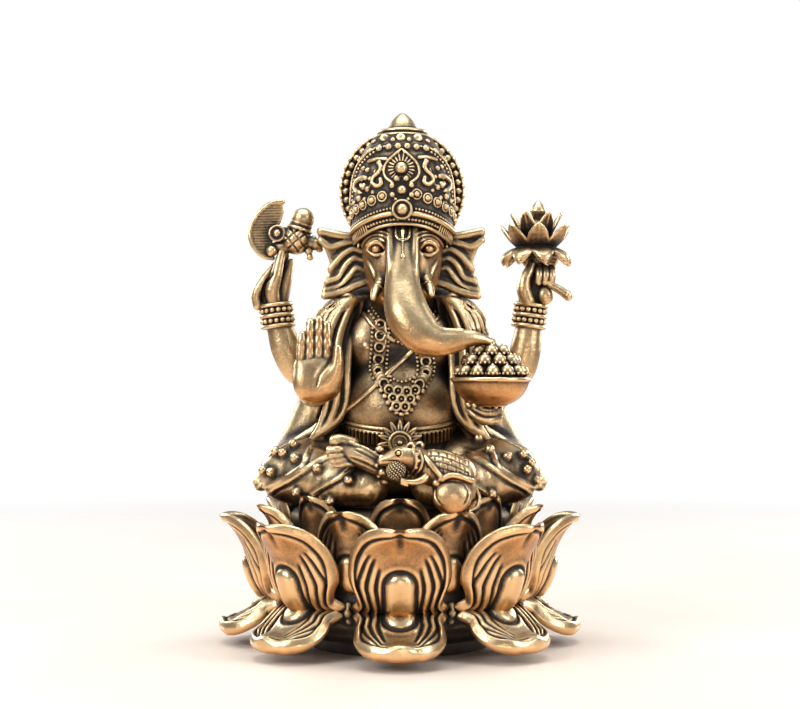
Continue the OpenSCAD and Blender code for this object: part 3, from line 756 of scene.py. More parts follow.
def petal_mesh(p):
    """One petal along +X: rings of points across the front and round the back, from root to tip."""
    spine = spline(p.spine, 14)
    run = np.concatenate([[0], np.cumsum(np.hypot(np.diff(spine[:, 0]), np.diff(spine[:, 1])))])
    stops = np.linspace(0, run[-1], p.rows)
    r, z, half, cup, wall = (np.interp(stops, run, spine[:, i]) for i in range(5))
    dr, dz = np.gradient(r), np.gradient(z)
    size = np.hypot(dr, dz)
    out_r, out_z = p.face * dz / size, -p.face * dr / size
    front = np.sin(np.linspace(-math.pi / 2, math.pi / 2, p.columns) * 0.985)
    back = np.sin(np.linspace(math.pi / 2, -math.pi / 2, p.columns // 3) * 0.985)[1:-1]
    u = np.concatenate([front, back])[None, :]
    side = np.concatenate([np.ones(len(front)), -np.ones(len(back))])[None, :]
    y = u * half[:, None]
    s = np.broadcast_to(stops[:, None], y.shape)
    outline = np.vstack([np.column_stack([half, stops]), np.column_stack([-half, stops])[::-1]])
    edge = np.maximum(-outline_distance(y, s, outline), 0)
    edge = np.minimum(edge, 50) if p.lip > 0 else edge
    height = petal_relief(p, y, s / run[-1], s, edge, u)
    body = 0.5 * wall[:, None] * np.sqrt(np.clip(1 - np.abs(u) ** 9, 0.0, 1)) * np.minimum(1,
            0.5 + edge / 2.0)
    rise = -cup[:, None] * u**2 - 0.5 * wall[:, None] + side * body + np.where(side > 0, height,
            -0.35 * height)
    x = r[:, None] + out_r[:, None] * rise
    zz = z[:, None] + out_z[:, None] * rise
    verts = np.stack([x, y, zz], -1).reshape(-1, 3)
    n = y.shape[1]
    i, k = np.meshgrid(np.arange(p.rows - 1), np.arange(n), indexing="ij")
    j = (k + 1) % n
    faces = np.stack([i * n + k, i * n + j, (i + 1) * n + j, (i + 1) * n + k], -1).reshape(-1, 4)
    if p.face < 0:
        faces = faces[:, ::-1]
    caps = []
    for row, flip in ((0, True), (p.rows - 1, False)):
        centre = len(verts)
        verts = np.vstack([verts, verts[row * n : (row + 1) * n].mean(0)])
        for a in range(n):
            b = (a + 1) % n
            pair = (row * n + b, row * n + a) if flip == (p.face > 0) else (row * n + a, row * n + b)
            caps.append((*pair, centre, centre))
    return verts, faces, np.array(caps)


def petal_relief(p, y, share, s, edge, u):
    """How far the front stands out: the rolled lip, long grooves and the boss at the waist."""
    low = np.clip((share - 0.12) / 0.25, 0, 1)
    out = p.lip * (0.5 * bell(edge - 0.7, 0.8) - 0.6 * bell(edge - 2.0, 0.36) * low)
    tip = np.clip((share - 0.72) / 0.28, 0, 1)
    if p.face > 0:
        out = out - 1.0 * bell(y, 1.3) * tip
    else:
        out = out + tip * (0.6 * bell(y, 2.4) - 0.6 * bell(np.abs(y) - 4.6, 1.9))
    for at, end in p.grooves:
        fade = np.clip(share / 0.06, 0, 1) * np.clip((end - share) / 0.12, 0, 1) ** 0.7
        bend = at * (1 - 0.75 * np.clip(share - 0.38, 0, 1))
        out = out - 0.75 * fade * bell((np.abs(u) - bend) * p.boss[1] * 3.0, 0.36)
        out = out + 0.45 * fade * bell((np.abs(u) - bend - 0.09) * p.boss[1] * 3.0, 0.85)
    top, width, proud = p.boss
    if proud > 0:
        away = np.hypot(y / width, np.maximum(s - top + width, 0) / width)
        out = out * np.clip((away - 0.9) / 0.2, 0, 1) + proud * np.sqrt(np.clip(1 - away**2.6, 0, 1))
        out = out - 0.36 * bell((away - 1.1) * width, 0.34)
        out = out + 0.16 * bell((away - 1.36) * width, 0.6)
    return out


def petal_ring(name, petal, turn, material, count=8):
    """A ring of petals; a triangle comes as a quad with its last corner twice."""
    verts, faces, caps = petal_mesh(petal)
    parts = []
    for i in range(count):
        a = math.radians(-90 + turn + 360 * i / count)
        wobble = 1 + 0.012 * math.sin(2.4 * i + turn)
        spin = np.array([[math.cos(a), math.sin(a), 0], [-math.sin(a), math.cos(a), 0], [0, 0, 1]])
        parts.append(((verts * [1, wobble, 1]) @ spin, np.vstack([faces, caps])))
    verts, faces = joined(parts)
    mesh = bpy.data.meshes.new(name)
    corners = [f[:3] if f[2] == f[3] else f for f in faces.tolist()]
    mesh.from_pydata((np.asarray(verts) * MM).tolist(), [], corners)
    mesh.polygons.foreach_set("use_smooth", np.ones(len(mesh.polygons), bool))
    mesh.update()
    piece(name, mesh, material, (name,))


def lotus(material):
    outer = Petal([[34, 11.4, 13.0, 2.2, 2.2], [38, 13.2, 11.3, 3, 2.4], [41.0, 16.6, 12.4, 4.6, 2.5],
                   [42.8, 21, 13.6, 5.6, 2.5], [44.2, 25.6, 13.3, 5.4, 2.5], [45.9, 29.4, 11.8, 4.4, 2.5],
                   [47.8, 32.2, 9.5, 3.2, 2.4], [49.5, 34.0, 6.6, 2.0, 2.1], [50.9, 35.0, 3.4, 0.8, 1.7],
                   [51.6, 35.3, 0.8, 0, 1.2]], lip=1.1, boss=(17.4, 3.9, 1.9),
                  grooves=((0.47, 0.60), (0.66, 0.68), (0.83, 0.70)), columns=110, rows=78, face=1)
    lower = Petal([[34, 14.0, 12.6, 1.0, 2.2], [38, 13.0, 11.3, 1.4, 2.8], [40.8, 10.9, 11.9, 1.6, 3.2],
                   [43.5, 9.0, 12.0, 1.2, 3.6], [46.3, 7.5, 10.9, 0.6, 3.9], [48.5, 6.7, 8.8, 0.2, 3.9],
                   [50.1, 6.4, 6.2, 0.0, 3.6], [51.0, 6.3, 3.2, 0, 3.0], [51.4, 6.3, 0.9, 0, 2.2]], lip=1.1,
                  boss=(9.4, 4.1, 1.6), grooves=((0.48, 0.74), (0.66, 0.80), (0.83, 0.84)), columns=110,
                  rows=66, face=-1)
    middle = Petal([[30.5, 17, 8, 1, 1.8], [34.6, 20, 9.4, 2, 2.0], [36.4, 27, 10.2, 2.6, 2.0],
                    [37.8, 33, 9.2, 2.4, 1.9], [39.8, 37.0, 6.2, 1.6, 1.8], [41.6, 38.8, 3, 0.6, 1.4],
                    [42.6, 39.2, 0.8, 0, 1.0]], lip=1.0, boss=(13.0, 3.2, 1.3),
                   grooves=((0.42, 0.66), (0.62, 0.74), (0.8, 0.78)), columns=80, rows=54, face=1)
    inner = Petal([[30, 26, 6, 1, 1.7], [32.6, 30, 7.6, 1.8, 1.8], [33.4, 36, 8.2, 2.0, 1.8],
                   [34.4, 40, 6.4, 1.6, 1.8], [35.8, 42.0, 3.2, 0.6, 1.4], [36.6, 42.5, 0.8, 0, 1.0]],
                  lip=0.9, boss=(1.0, 3.0, 0.0), grooves=(), columns=64, rows=36, face=1)
    petal_ring("lower_petals", lower, 0, material)
    petal_ring("outer_petals", outer, 0, material)
    petal_ring("middle_petals", middle, 22.5, material)
    petal_ring("inner_petals", inner, 0, material)


def hub(material):
    """The drum that carries the petals, and the small balls in the gaps between them at the waist."""
    top = box("lotus_hub")[1][2]
    clay = Clay([-37.5, -37.5, 2.4], [37.5, 37.5, top + 1], 0.6)
    clay.add(lathe([0, 0, 0], [[26.4, 3.0], [29, 3.6], [32, 6.0], [34.4, 9], [35.2, 12], [34.2, 17],
                               [32.3, 24], [31.4, 31], [31.8, top - 3], [30.4, top - 0.6], [28.5, top]]))
    for i in range(8):
        a = math.radians(22.5 + 45 * i)
        for r, z, size in ((36.0, 12.8, 1.2), (35.5, 15.0, 1.0), (35.3, 10.6, 1.0)):
            clay.add(ball([r * math.sin(a), r * math.cos(a), z], size), 0.3)
    clay_piece("lotus_hub_sculpted", clay, material, ("lotus_hub",))


# ---- Head ----


def skull(clay):
    x, y, z = 0.7, -7.0, 110.5
    clay.add(egg([x, y, z + 1], [11.4, 11.8, 11.5]))
    clay.add(egg([x, y - 2.2, z - 6.0], [10.3, 9.6, 9.4]), 3)
    clay.add(egg([x, y - 1, z - 10], [8.6, 8.8, 6.8]), 2.5)
    clay.add(egg([x, y + 6, z - 15], [9.5, 8.5, 8]), 3)
    for s in (-1, 1):
        clay.strand([[x + 3.7 * s, -15.6, z + 8.5, 0.9], [x + 3.5 * s, -17.6, z + 4, 0.95],
                     [x + 3.5 * s, -19.4, z - 1, 1.0], [x + 3.5 * s, -20.4, z - 6, 0.8],
                     [x + 3.6 * s, -20.6, z - 10, 0.3]], 0.8)


def eyes(clay):
    for s, x in ((-1, -6.5), (1, 7.9)):
        z = 110.9
        skin = clay.front(x, z)
        clay.cut(egg(skin - [0, 0.5, 0], [2.7, 1.6, 1.9]), 0.5)
        clay.add(ball(skin + [0, 0.75, -0.2], 1.75), 0.1)
        clay.add(egg(skin + [0, -0.75, -0.2], [0.75, 0.4, 0.75]), 0.1)
        outer, inner = x + s * 2.7, x - s * 2.6
        clay.strand([[inner, skin[1] - 0.3, z - 0.9, 0.34], [x - 1.6 * s, skin[1] - 0.85, z + 0.75, 0.55],
                     [x, skin[1] - 1.1, z + 1.55, 0.66], [x + 1.7 * s, skin[1] - 0.8, z + 0.9, 0.55],
                     [outer, skin[1] + 0.1, z - 0.5, 0.36]], 0.2)
        clay.strand([[inner, skin[1] - 0.3, z - 0.9, 0.3], [x - 1.0 * s, skin[1] - 0.7, z - 1.85, 0.45],
                     [x + 0.7 * s, skin[1] - 0.6, z - 2.0, 0.45], [outer, skin[1] + 0.1, z - 0.5, 0.3]],
                    0.2)
        for k in range(3):
            r = 3.0 + 1.2 * k
            arc = [[x + s * r * 0.98 * math.sin(a),
                    z + 0.86 * r * math.cos(a)] for a in np.linspace(-1.0 + 0.12 * k, 1.5, 10)]
            clay.ridge(arc, 0.52, 0.15, 0.2, taper=True)
        clay.ridge([[x + s * 2.6, z - 3.2], [x + s * 1.2, z - 6.0], [x + s * 0.2, z - 8.6]], 0.5, -0.05,
                   0.5, taper=True)


TRUNK = [[0.8, -13.0, 119, 2.6], [0.8, -15.2, 114.6, 3.0], [0.8, -17.2, 110.5, 3.4],
         [0.75, -19.0, 106, 3.8], [0.7, -21, 100, 4.5], [1.2, -22.8, 95.6, 5.2], [2.2, -24.4, 92, 5.5],
         [4.3, -25.8, 88.6, 5.3], [7.0, -26.9, 86, 4.7], [10.3, -27.3, 84.9, 3.8],
         [13.6, -27.2, 85.0, 3.15], [16.8, -26.9, 85.5, 2.65], [19.4, -26.5, 85.7, 2.2],
         [21.9, -26, 85.4, 1.6], [24.0, -25.6, 84.8, 1.1]]


def trunk(clay):
    """The trunk has a broad flat front with a rounded band down each side."""
    clay.strand(TRUNK, 1.0, steps=9, flat=0.78, up=(0.12, -1, 0.1))
    sides = spline(TRUNK, 3)
    tangent = np.gradient(sides[:, :3], axis=0)
    across = np.cross(tangent, [0, -1, 0])
    across /= np.linalg.norm(across, axis=1)[:, None]
    keep = slice(4, len(sides) - 9)
    for s in (-1, 1):
        path = sides[:, :3] + across * sides[:, 3:] * 0.82 * s + [0, -0.5, 0]
        clay.strand(np.column_stack([path, sides[:, 3] * 0.27])[keep], 0.6, steps=4)


def mouth_and_tusks(clay):
    clay.cut(egg([0.7, -16.5, 97.2], [6.6, 4.5, 2.2]), 0.8)
    for s, socket in ((-1, (-5.3, 101.4)), (1, (7.0, 102.1))):
        skin = clay.front(*socket)
        clay.strand([[socket[0], skin[1] + 1.5, socket[1] + 2.4, 1.3],
                     [socket[0], skin[1] - 0.1, socket[1] - 0.2, 1.55]], 0.6)
        clay.add(ring(skin + [0, -0.5, -1.2], [0.35 * s, -0.5, -1], 1.1, 0.42), 0.15)


def tusk(s, socket, tip):
    clay = Clay(np.minimum([*socket], [*tip]) - 3, np.maximum([*socket], [*tip]) + 3, 0.2)
    a, b = np.array(socket, float), np.array(tip, float)
    clay.strand([[*a, 1.5], [*(a * 0.5 + b * 0.5 + [0.3 * s, 0, -0.2]), 1.35], [*b, 0.9]], 0.1)
    clay.add(ring(a * 0.72 + b * 0.28, b - a, 1.4, 0.26), 0.1)
    return clay


def trident(clay, skin):
    """A small trident with a drop below it, on the forehead."""
    def on(x, z, lift, r):
        p = skin.front(x, z)
        return [x, p[1] - lift, z, r]

    x = 0.75
    clay.strand([on(x, 109.4, 0.2, 0.34), on(x, 113.5, 0.4, 0.36), on(x, 115.4, 0.5, 0.62),
                 on(x, 117.6, 0.5, 0.14)], 0.1, steps=2)
    clay.strand([on(x - 1.9, 117.0, 0.4, 0.2), on(x - 1.85, 114.4, 0.4, 0.4), on(x - 1.3, 113.2, 0.4, 0.4),
                 on(x, 112.9, 0.4, 0.4), on(x + 1.3, 113.2, 0.4, 0.4), on(x + 1.85, 114.4, 0.4, 0.4),
                 on(x + 1.9, 117.0, 0.4, 0.2)], 0.1)
    clay.add(egg(skin.front(x, 108.0) - [0, 0.15, 0], [0.62, 0.5, 1.25]), 0.1)


def head(polished, gilt):
    clay = Clay([-14.5, -34.5, 77], [27, 7, 124], 0.25)
    skull(clay)
    clay.settle()
    eyes(clay)
    mouth_and_tusks(clay)
    trunk(clay)
    clay.settle()
    clay_piece("head", clay, polished, ("head",))
    mark = Clay([-2.5, -24, 105], [4, -12, 119], 0.16)
    trident(mark, clay)
    clay_piece("forehead_trident", mark, gilt, ("forehead_trident",))
    clay_piece("right_tusk", tusk(-1, (-5.6, -17.5, 100.6), (-7.2, -21.0, 96.9)), polished, ("right_tusk",))
    clay_piece("left_tusk", tusk(1, (7.2, -17.0, 101.6), (8.5, -20.6, 97.8)), polished, ("left_tusk",))


EAR = [[9, 116.0], [14.7, 115.9], [18, 116.5], [22.0, 117.3], [23.1, 116.4], [22.9, 114.4], [21.2, 111.4],
       [20.0, 108.2], [20.1, 105.4], [21.2, 102.8], [22.1, 99.8], [21.6, 97.9], [19.4, 97.4], [17.0, 98.0],
       [12.6, 100.2], [8, 102], [8, 110]]
EAR_RIDGES = [
    [[10, 115.2], [14.5, 115.0], [18, 115.5], [22.4, 116.5]],
    [[10, 112.6], [13, 113.6], [16.5, 112.9], [19.5, 112.2], [22.4, 114.0]],
    [[10.5, 110.8], [13.2, 111.4], [16, 110.0], [18.2, 107.6], [19.6, 106.0]],
    [[10.5, 108.4], [13, 108.8], [15.4, 106.8], [17.2, 103.6], [20.6, 102.2]],
    [[10, 105.6], [12.4, 106.0], [14.6, 103.4], [17, 101.0], [21.2, 99.9]],
    [[9, 102.4], [13, 100.9], [16.5, 99.2], [21.2, 98.3]],
]


def ear(s, material):
    def place(points):
        return [[x * s + 0.7 * (s > 0), z] for x, z in points]

    clay = Clay([min(8 * s, 24 * s), -10, 94], [max(8 * s, 24 * s), 2, 120], 0.22)
    clay.add(plate(place(EAR), lambda x, z: -4.6 + 0.05 * (np.abs(x) - 12), 0.95, 0.6))
    clay.settle()
    for k, line in enumerate(EAR_RIDGES):
        r = (1.3, 1.15, 1.1, 1.0, 0.9, 1.3)[k]
        clay.ridge(place(line), r - 0.15, -0.3, 0.6)
    for a, b in zip(EAR_RIDGES[:-1], EAR_RIDGES[1:]):
        line = [((np.array(p) + np.array(q)) / 2).tolist() for p,
                q in zip(spline(a, 4)[::4][:4], spline(b, 4)[::4][:4])]
        clay.ridge(place(line), 0.26, 0.0, 0.3, carve=True, taper=True)
    back = [[10, 108], [13, 108.5], [17, 106], [19, 103]]
    clay.strand([[x, -3.4, z, 0.9] for x, z in place(back)], 0.6)
    return clay_piece("right_ear" if s < 0 else "left_ear", clay, material,
                      ("right_ear" if s < 0 else "left_ear",))


# ---- Crown and halo ----

CROWN = (0.7, -5.0)
CROWN_OUTLINE = [[13.6, 114.6], [14.3, 117], [14.5, 120], [14.4, 124], [14.1, 129], [13.4, 133],
                 [12.0, 137], [10.2, 140.2], [8.4, 142.4], [6.6, 144.0], [6.2, 144.6]]


def crown_radius(z):
    outline = np.array(CROWN_OUTLINE)
    return float(np.interp(z, outline[:, 1], outline[:, 0]))


def on_crown(angle, z, lift=0.0):
    """A place on the crown's side: the angle is 0 at the front and grows to the viewer's right."""
    r = crown_radius(z) + lift
    return np.array([CROWN[0] + r * math.sin(angle), CROWN[1] - r * math.cos(angle), z])


def band_height(angle):
    """The brow band dips towards the ears."""
    return 120.2 - 4.4 * math.sin(min(abs(angle), math.pi / 2)) ** 2.2


def rosette(clay, place, axis, radius):
    clay.add(ring(place, axis, radius, radius * 0.2), 0.1)
    clay.add(ball(place, radius * 0.66), 0.1)


def outward_of(place):
    return np.array([place[0] - CROWN[0], place[1] - CROWN[1], 0])


def crown_rows(clay):
    angles = np.linspace(-1.75, 1.75, 121)
    rim = [[*on_crown(a, band_height(a) - 0.1, 0.55), 0.72] for a in angles[::4]]
    clay.strand(rim, 0.3, steps=2)
    lower = [[*on_crown(a, band_height(a) - 2.9, 0.0), 0.5] for a in angles[::4]]
    clay.strand(lower, 0.3, steps=2)
    for k, a in enumerate(np.arange(-1.72, 1.73, 0.068)):
        if abs(a) > 0.19:
            clay.add(ball(on_crown(a, band_height(a) + 1.35, 0.12), 0.42), 0.06)
        p, q = on_crown(a, band_height(a) - 0.9, 0.35), on_crown(a, band_height(a) - 2.5, 0.15)
        if abs(a) > 0.75:
            clay.strand([[*p, 0.34], [*q, 0.34]], 0.05, steps=1)
        elif k % 2 == 0 or abs(a) > 0.1:
            clay.add(ball(on_crown(a, band_height(a) - 1.7, 0.3), 0.44), 0.06)
    for a in np.arange(-1.95, 1.96, 0.222):
        if abs(a) > 0.25:
            z = 126.6 - 7.0 * min(abs(a) / 1.6, 1.2)
            place = on_crown(a, z, 0.25)
            rosette(clay, place, outward_of(place), 1.3)
    for a in np.arange(1.66, 4.65, 0.2):
        for k, z in enumerate((118.5, 122.2, 125.9, 129.6, 133.3, 136.8)):
            if k or 1.9 < a < 4.4:
                place = on_crown(a + 0.1 * (k % 2), z, 0.1)
                rosette(clay, place, outward_of(place), 1.2 if k % 2 else 0.95)


def crown_front(clay):
    def at(x, z, lift=0.0):
        return clay.front(x, z) - [0, lift, 0]

    jewel = at(0.6, 121.1, 0.5)
    clay.add(disc(jewel + [0, 0.6, 0], [0, 1, -0.05], 2.7, 1.2, 0.3), 0.3)
    clay.add(ring(jewel - [0, 0.5, 0], [0, 1, -0.05], 2.45, 0.42), 0.1)
    clay.add(ball(jewel - [0, 0.7, 0], 1.55), 0.08)
    plaque = [[0.2, 138.0], [-2.2, 135.9], [-3.9, 134.0], [-4.5, 131.8], [-3.8, 129.9], [-2.0, 128.5]]
    clay.ridge(plaque, 0.38, 0.35, 0.12)
    clay.ridge([[0.8 - x, z] for x, z in plaque], 0.38, 0.35, 0.12)
    heart = at(0.35, 132.6, 0.3)
    clay.add(ball(heart, 1.7), 0.1)
    for k in range(20):
        a = 2 * math.pi * (k + 0.5) / 20
        long = 3.5 + 1.0 * max(0, math.cos(a)) ** 3
        clay.ridge([[0.35 + 2.25 * math.sin(a), 132.6 + 2.25 * math.cos(a)],
                    [0.35 + long * math.sin(a), 132.6 + long * math.cos(a)]], 0.27, 0.12, 0.05)
    for x, z, r in ((-0.95, 129.7, 0.85), (1.65, 129.7, 0.85), (-2.2, 127.7, 0.8), (3.1, 127.8, 0.8),
                    (-2.1, 125.2, 0.8), (3.1, 125.2, 0.8), (0.5, 126.5, 1.3), (-1.2, 124.0, 0.5),
                    (2.2, 124.0, 0.5)):
        clay.add(ball(at(x, z, 0.3), r), 0.1)
    for s in (-1, 1):
        def m(x, z):
            return [0.7 + s * x, z + (0.5 if s > 0 else 0.0)]

        clay.ridge([m(4.6, 135.3), m(7, 135.5), m(9.2, 135.1)], 0.55, 0.3, 0.1)
        clay.ridge([m(6.4, 134.2), m(5.9, 132.9), m(6.6, 131.6), m(7.9, 130.4), m(8.3, 128.8),
                    m(7.1, 127.8), m(5.9, 128.4), m(6.1, 129.6)], 0.62, 0.35, 0.1)
        clay.add(ball(at(*m(6.4, 134.3), 0.3), 0.8), 0.1)
        crescent = [m(11.0 + 2.1 * math.sin(a), 128.4 + 2.1 * math.cos(a)) for a in np.linspace(-0.7, 3.0,
                9)]
        clay.ridge(crescent, 0.85, 0.3, 0.15, taper=True)
        clay.add(ball(at(*m(10.6, 128.0), 0.2), 1.05), 0.1)
        for x, z, r in ((9.6, 132.6, 0.75), (8.9, 130.0, 0.7), (10.9, 130.2, 0.9), (9.6, 127.2, 0.85),
                        (11.2, 128.4, 0.85), (9.0, 134.2, 0.0), (11.9, 124.9, 0.95), (13.3, 123.9, 0.8),
                        (10.4, 124.4, 0.7), (10.8, 133.2, 0.7), (8.2, 126.2, 0.6), (12.0, 126.6, 0.7)):
            if r:
                clay.add(ball(at(*m(x, z), 0.1), r), 0.1)
        clay.ridge([m(9.6, 126.6), m(8.2, 129.6), m(7.6, 132.2)], 0.3, 0.2, 0.1)
    for k, x in enumerate(np.linspace(-8.2, 9.6, 8)):
        clay.add(ball(at(x, 139.0 - 0.012 * (x - 0.7) ** 2, 0.2), 1.0), 0.1)
    for x in (-4.3, 0.2, 4.9):
        clay.add(disc(at(x, 141.7, 0.1), [0, -1, 0.55], 1.3, 0.5, 0.25), 0.1)
        clay.add(ring(at(x, 141.7, 0.5), [0, -1, 0.55], 0.8, 0.2), 0.05)
    for x in (-7.2, -2.0, 2.5, 7.6):
        clay.add(ball(at(x, 141.0, 0.1), 0.75), 0.1)


def crown_arch(clay):
    """A raised arch over the crown's front with tiny beads inside it."""
    for s in (-1, 1):
        path, inner = [], []
        for z in np.linspace(124.0, 139.4, 14):
            a = float(np.interp(z, (124, 131.2, 134.9, 137.5, 139.4), (1.44, 1.40, 1.24, 0.95, 0.62)))
            path.append([*on_crown(a * s, z, 0.3), 0.5])
            inner.append(on_crown((a - 0.14) * s, z - 0.3, 0.25))
        clay.strand(path, 0.2, steps=2)
        for p in along(inner, 1.15):
            clay.add(ball(p, 0.42), 0.05)


def crown(antique, polished):
    clay = Clay([-15.8, -24.5, 112.5], [17.2, 8, 146.2], 0.22)
    clay.add(lathe([*CROWN, 0], CROWN_OUTLINE))
    clay.cut(egg([0.7, -15, 109.6], [14.2, 9.5, 8.9]), 0.3)
    for z, r in ((143.0, 0.45), (144.4, 0.6)):
        c = [CROWN[0], CROWN[1], z]
        clay.add(ring(c, [0, 0, 1], crown_radius(z) + 0.1, r), 0.2)
    clay.settle()
    crown_rows(clay)
    crown_front(clay)
    crown_arch(clay)
    clay_piece("crown", clay, antique, ("crown_band", "crown_dome", "crown_plaque", "crown_jewel",
                                        "crown_rosettes"))
    top = Clay([-6.5, -12.5, 143.5], [8, 2.5, 151], 0.2)
    top.add(lathe([*CROWN, 0], [[5.4, 144.0], [5.7, 144.6], [5.3, 145.1], [4.15, 145.4], [3.95, 145.9],
                                [3.4, 147.0], [2.65, 148.1], [1.7, 149.1], [0.8, 149.8], [0.3, 149.95]]))
    clay_piece("crown_finial", top, polished, ("crown_finial",))


def halo(material):
    centre = np.array([0.6, 6.4, 129.0])
    low, high = box("halo")
    radius = (high[0] - low[0]) / 2 - 0.1
    clay = Clay([centre[0] - radius - 1, 3.0, centre[2] - radius - 1],
                [centre[0] + radius + 1, 10.0, centre[2] + radius + 1], 0.22)
    clay.add(disc(centre, [0, 1, 0], radius - 0.2, 1.1, 0.4))
    for r, thick in ((radius - 0.6, 0.4), (radius - 3.5, 0.5)):
        clay.add(ring(centre - [0, 1.1, 0], [0, 1, 0], r, thick), 0.2)
        clay.add(ring(centre + [0, 1.1, 0], [0, 1, 0], r, thick), 0.2)
    mid = radius - 1.95
    count = 40
    for k in range(count):
        a = 2 * math.pi * k / count
        spot = centre + [mid * math.sin(a), 0, mid * math.cos(a)]
        clay.add(ball(spot - [0, 1.5, 0], 0.98), 0.08)
        clay.add(ball(centre + [(radius - 0.5) * math.sin(a + math.pi / count), -1.3,
                                (radius - 0.5) * math.cos(a + math.pi / count)], 0.6), 0.08)
        for side, depth in ((-1, -1.15), (1, -1.15), (-1, 1.15), (1, 1.15)):
            b = a + side * math.pi / count
            inner = [centre[0] + (mid - 1.3) * math.sin(a), centre[1] + depth,
                     centre[2] + (mid - 1.3) * math.cos(a), 0.36]
            outer = [centre[0] + (mid + 1.3) * math.sin(a), centre[1] + depth,
                     centre[2] + (mid + 1.3) * math.cos(a), 0.36]
            corner = [centre[0] + mid * math.sin(b), centre[1] + 1.1 * depth, centre[2] + mid * math.cos(b),
                      0.36]
            clay.strand([inner, corner, outer], 0.05, steps=1)
    for k in range(24):
        a = 2 * math.pi * k / 24
        ray = [[centre[0] + r * math.sin(a), centre[1] + 1.1, centre[2] + r * math.cos(a), w] for r,
               w in ((5, 0.35), (9, 0.7), (12.6, 0.4))]
        clay.strand(ray, 0.2, steps=2)
    clay.add(disc(centre + [0, 1.2, 0], [0, 1, 0], 4.0, 0.8, 0.5), 0.3)
    clay.add(ball(centre + [0, 1.6, 0], 2.0), 0.3)
    clay_piece("halo", clay, material, ("halo", "halo_beads"))


# ---- Body and dress ----


def torso_clay():
    clay = Clay([-25, -22, 38], [26, 16, 104], 0.32)
    clay.add(egg([0, -3, 67], [17.6, 16.2, 14.6]))
    clay.add(egg([0, 0, 84], [14.5, 10.5, 15]), 3.5)
    clay.add(egg([0, 2, 50], [19, 16, 13]), 3)
    for s in (-1, 1):
        clay.add(egg([15 * s, 2, 90], [6.5, 6.5, 6]), 3)
        clay.add(egg([8.6 * s, -6.8, 84.4], [6.4, 5.4, 8.0]), 3.5)
    clay.cut(egg([0.3, -19.6, 62.5], [1.3, 1.6, 1.0]), 0.8)
    clay.settle()
    for s in (-1, 1):
        clay.add(ball(clay.front(9.3 * s, 83.8) + [0, 0.4, 0], 0.9), 0.5)
    return clay


def belt_place(clay, angle, drop=0.0):
    """A place on the front of the belly along the belt, which smiles up towards the hips."""
    x = 20.0 * math.sin(angle)
    z = 58.9 + 5.6 * (1 - math.cos(angle)) - drop
    return clay.front(x, z)


def belt(torso, material):
    clay = Clay([-22, -23, 53], [22, 2, 68], 0.2)
    turns = np.linspace(-1.25, 1.25, 60)
    for drop, r in ((-2.0, 0.6), (-0.9, 0.45)):
        for side in (turns[turns < -0.16], turns[turns > 0.16]):
            clay.strand([[*(belt_place(torso, a, drop) - [0, 0.1, 0]), r] for a in side[::3]], 0.1, steps=3)
    for a in np.arange(-1.24, 1.25, 0.066):
        if abs(a) > 0.17:
            top, low = belt_place(torso, a, -0.5), belt_place(torso, a, 2.3)
            clay.strand([[*(top - [0, 0.5, 0]), 0.46], [*(low - [0, 1.1, 0]), 0.5]], 0.05, steps=1)
    clay_piece("belt", clay, material, ("belt",))


def buckle(material):
    centre = middle("belt_buckle")
    c = np.array([centre[0], -20.4, 57.4])
    clay = Clay(c - [7, 2.5, 6], c + [7, 3, 7.5], 0.16)
    axis = [0, -1, -0.12]
    clay.add(disc(c, axis, 3.1, 0.9, 0.3))
    clay.add(ring(c - [0, 0.8, 0], axis, 2.9, 0.42), 0.1)
    clay.add(ring(c - [0, 0.8, 0], axis, 1.9, 0.28), 0.1)
    clay.add(ball(c - [0, 0.7, 0], 0.75), 0.1)
    for k in range(12):
        a = 2 * math.pi * k / 12
        clay.add(ball(c - [0, 0.8, 0] + [1.3 * math.sin(a), 0, 1.3 * math.cos(a)], 0.26), 0.05)
    for a in np.radians([-96, -72, -48, -24, 0, 24, 48, 72, 96]):
        out = np.array([math.sin(a), 0, math.cos(a)])
        clay.strand([[*(c + 3.0 * out), 1.0], [*(c + 4.6 * out), 0.8],
                     [*(c + 6.0 * out + [0, -0.5, 0]), 0.32]], 0.3)
        clay.strand([[*(c + 3.4 * out - [0, 0.8, 0]), 0.25], [*(c + 5.0 * out - [0, 0.8, 0]), 0.2]], 0.15,
                    carve=True, steps=1)
    clay_piece("belt_buckle", clay, material, ("belt_buckle",))


def thread(torso, material):
    clay = Clay([-21, -23, 58], [12, -6, 92], 0.22)
    path = torso.draped([[9.5, 90.5], [3.3, 82.5], [-3.1, 76.4], [-9.5, 70.4], [-17.6, 63.6]], 0.1, 0.8)
    clay.strand(np.column_stack([path, np.full(len(path), 0.72)]), 0.1, steps=1)
    clay_piece("sacred_thread", clay, material, ("sacred_thread",))


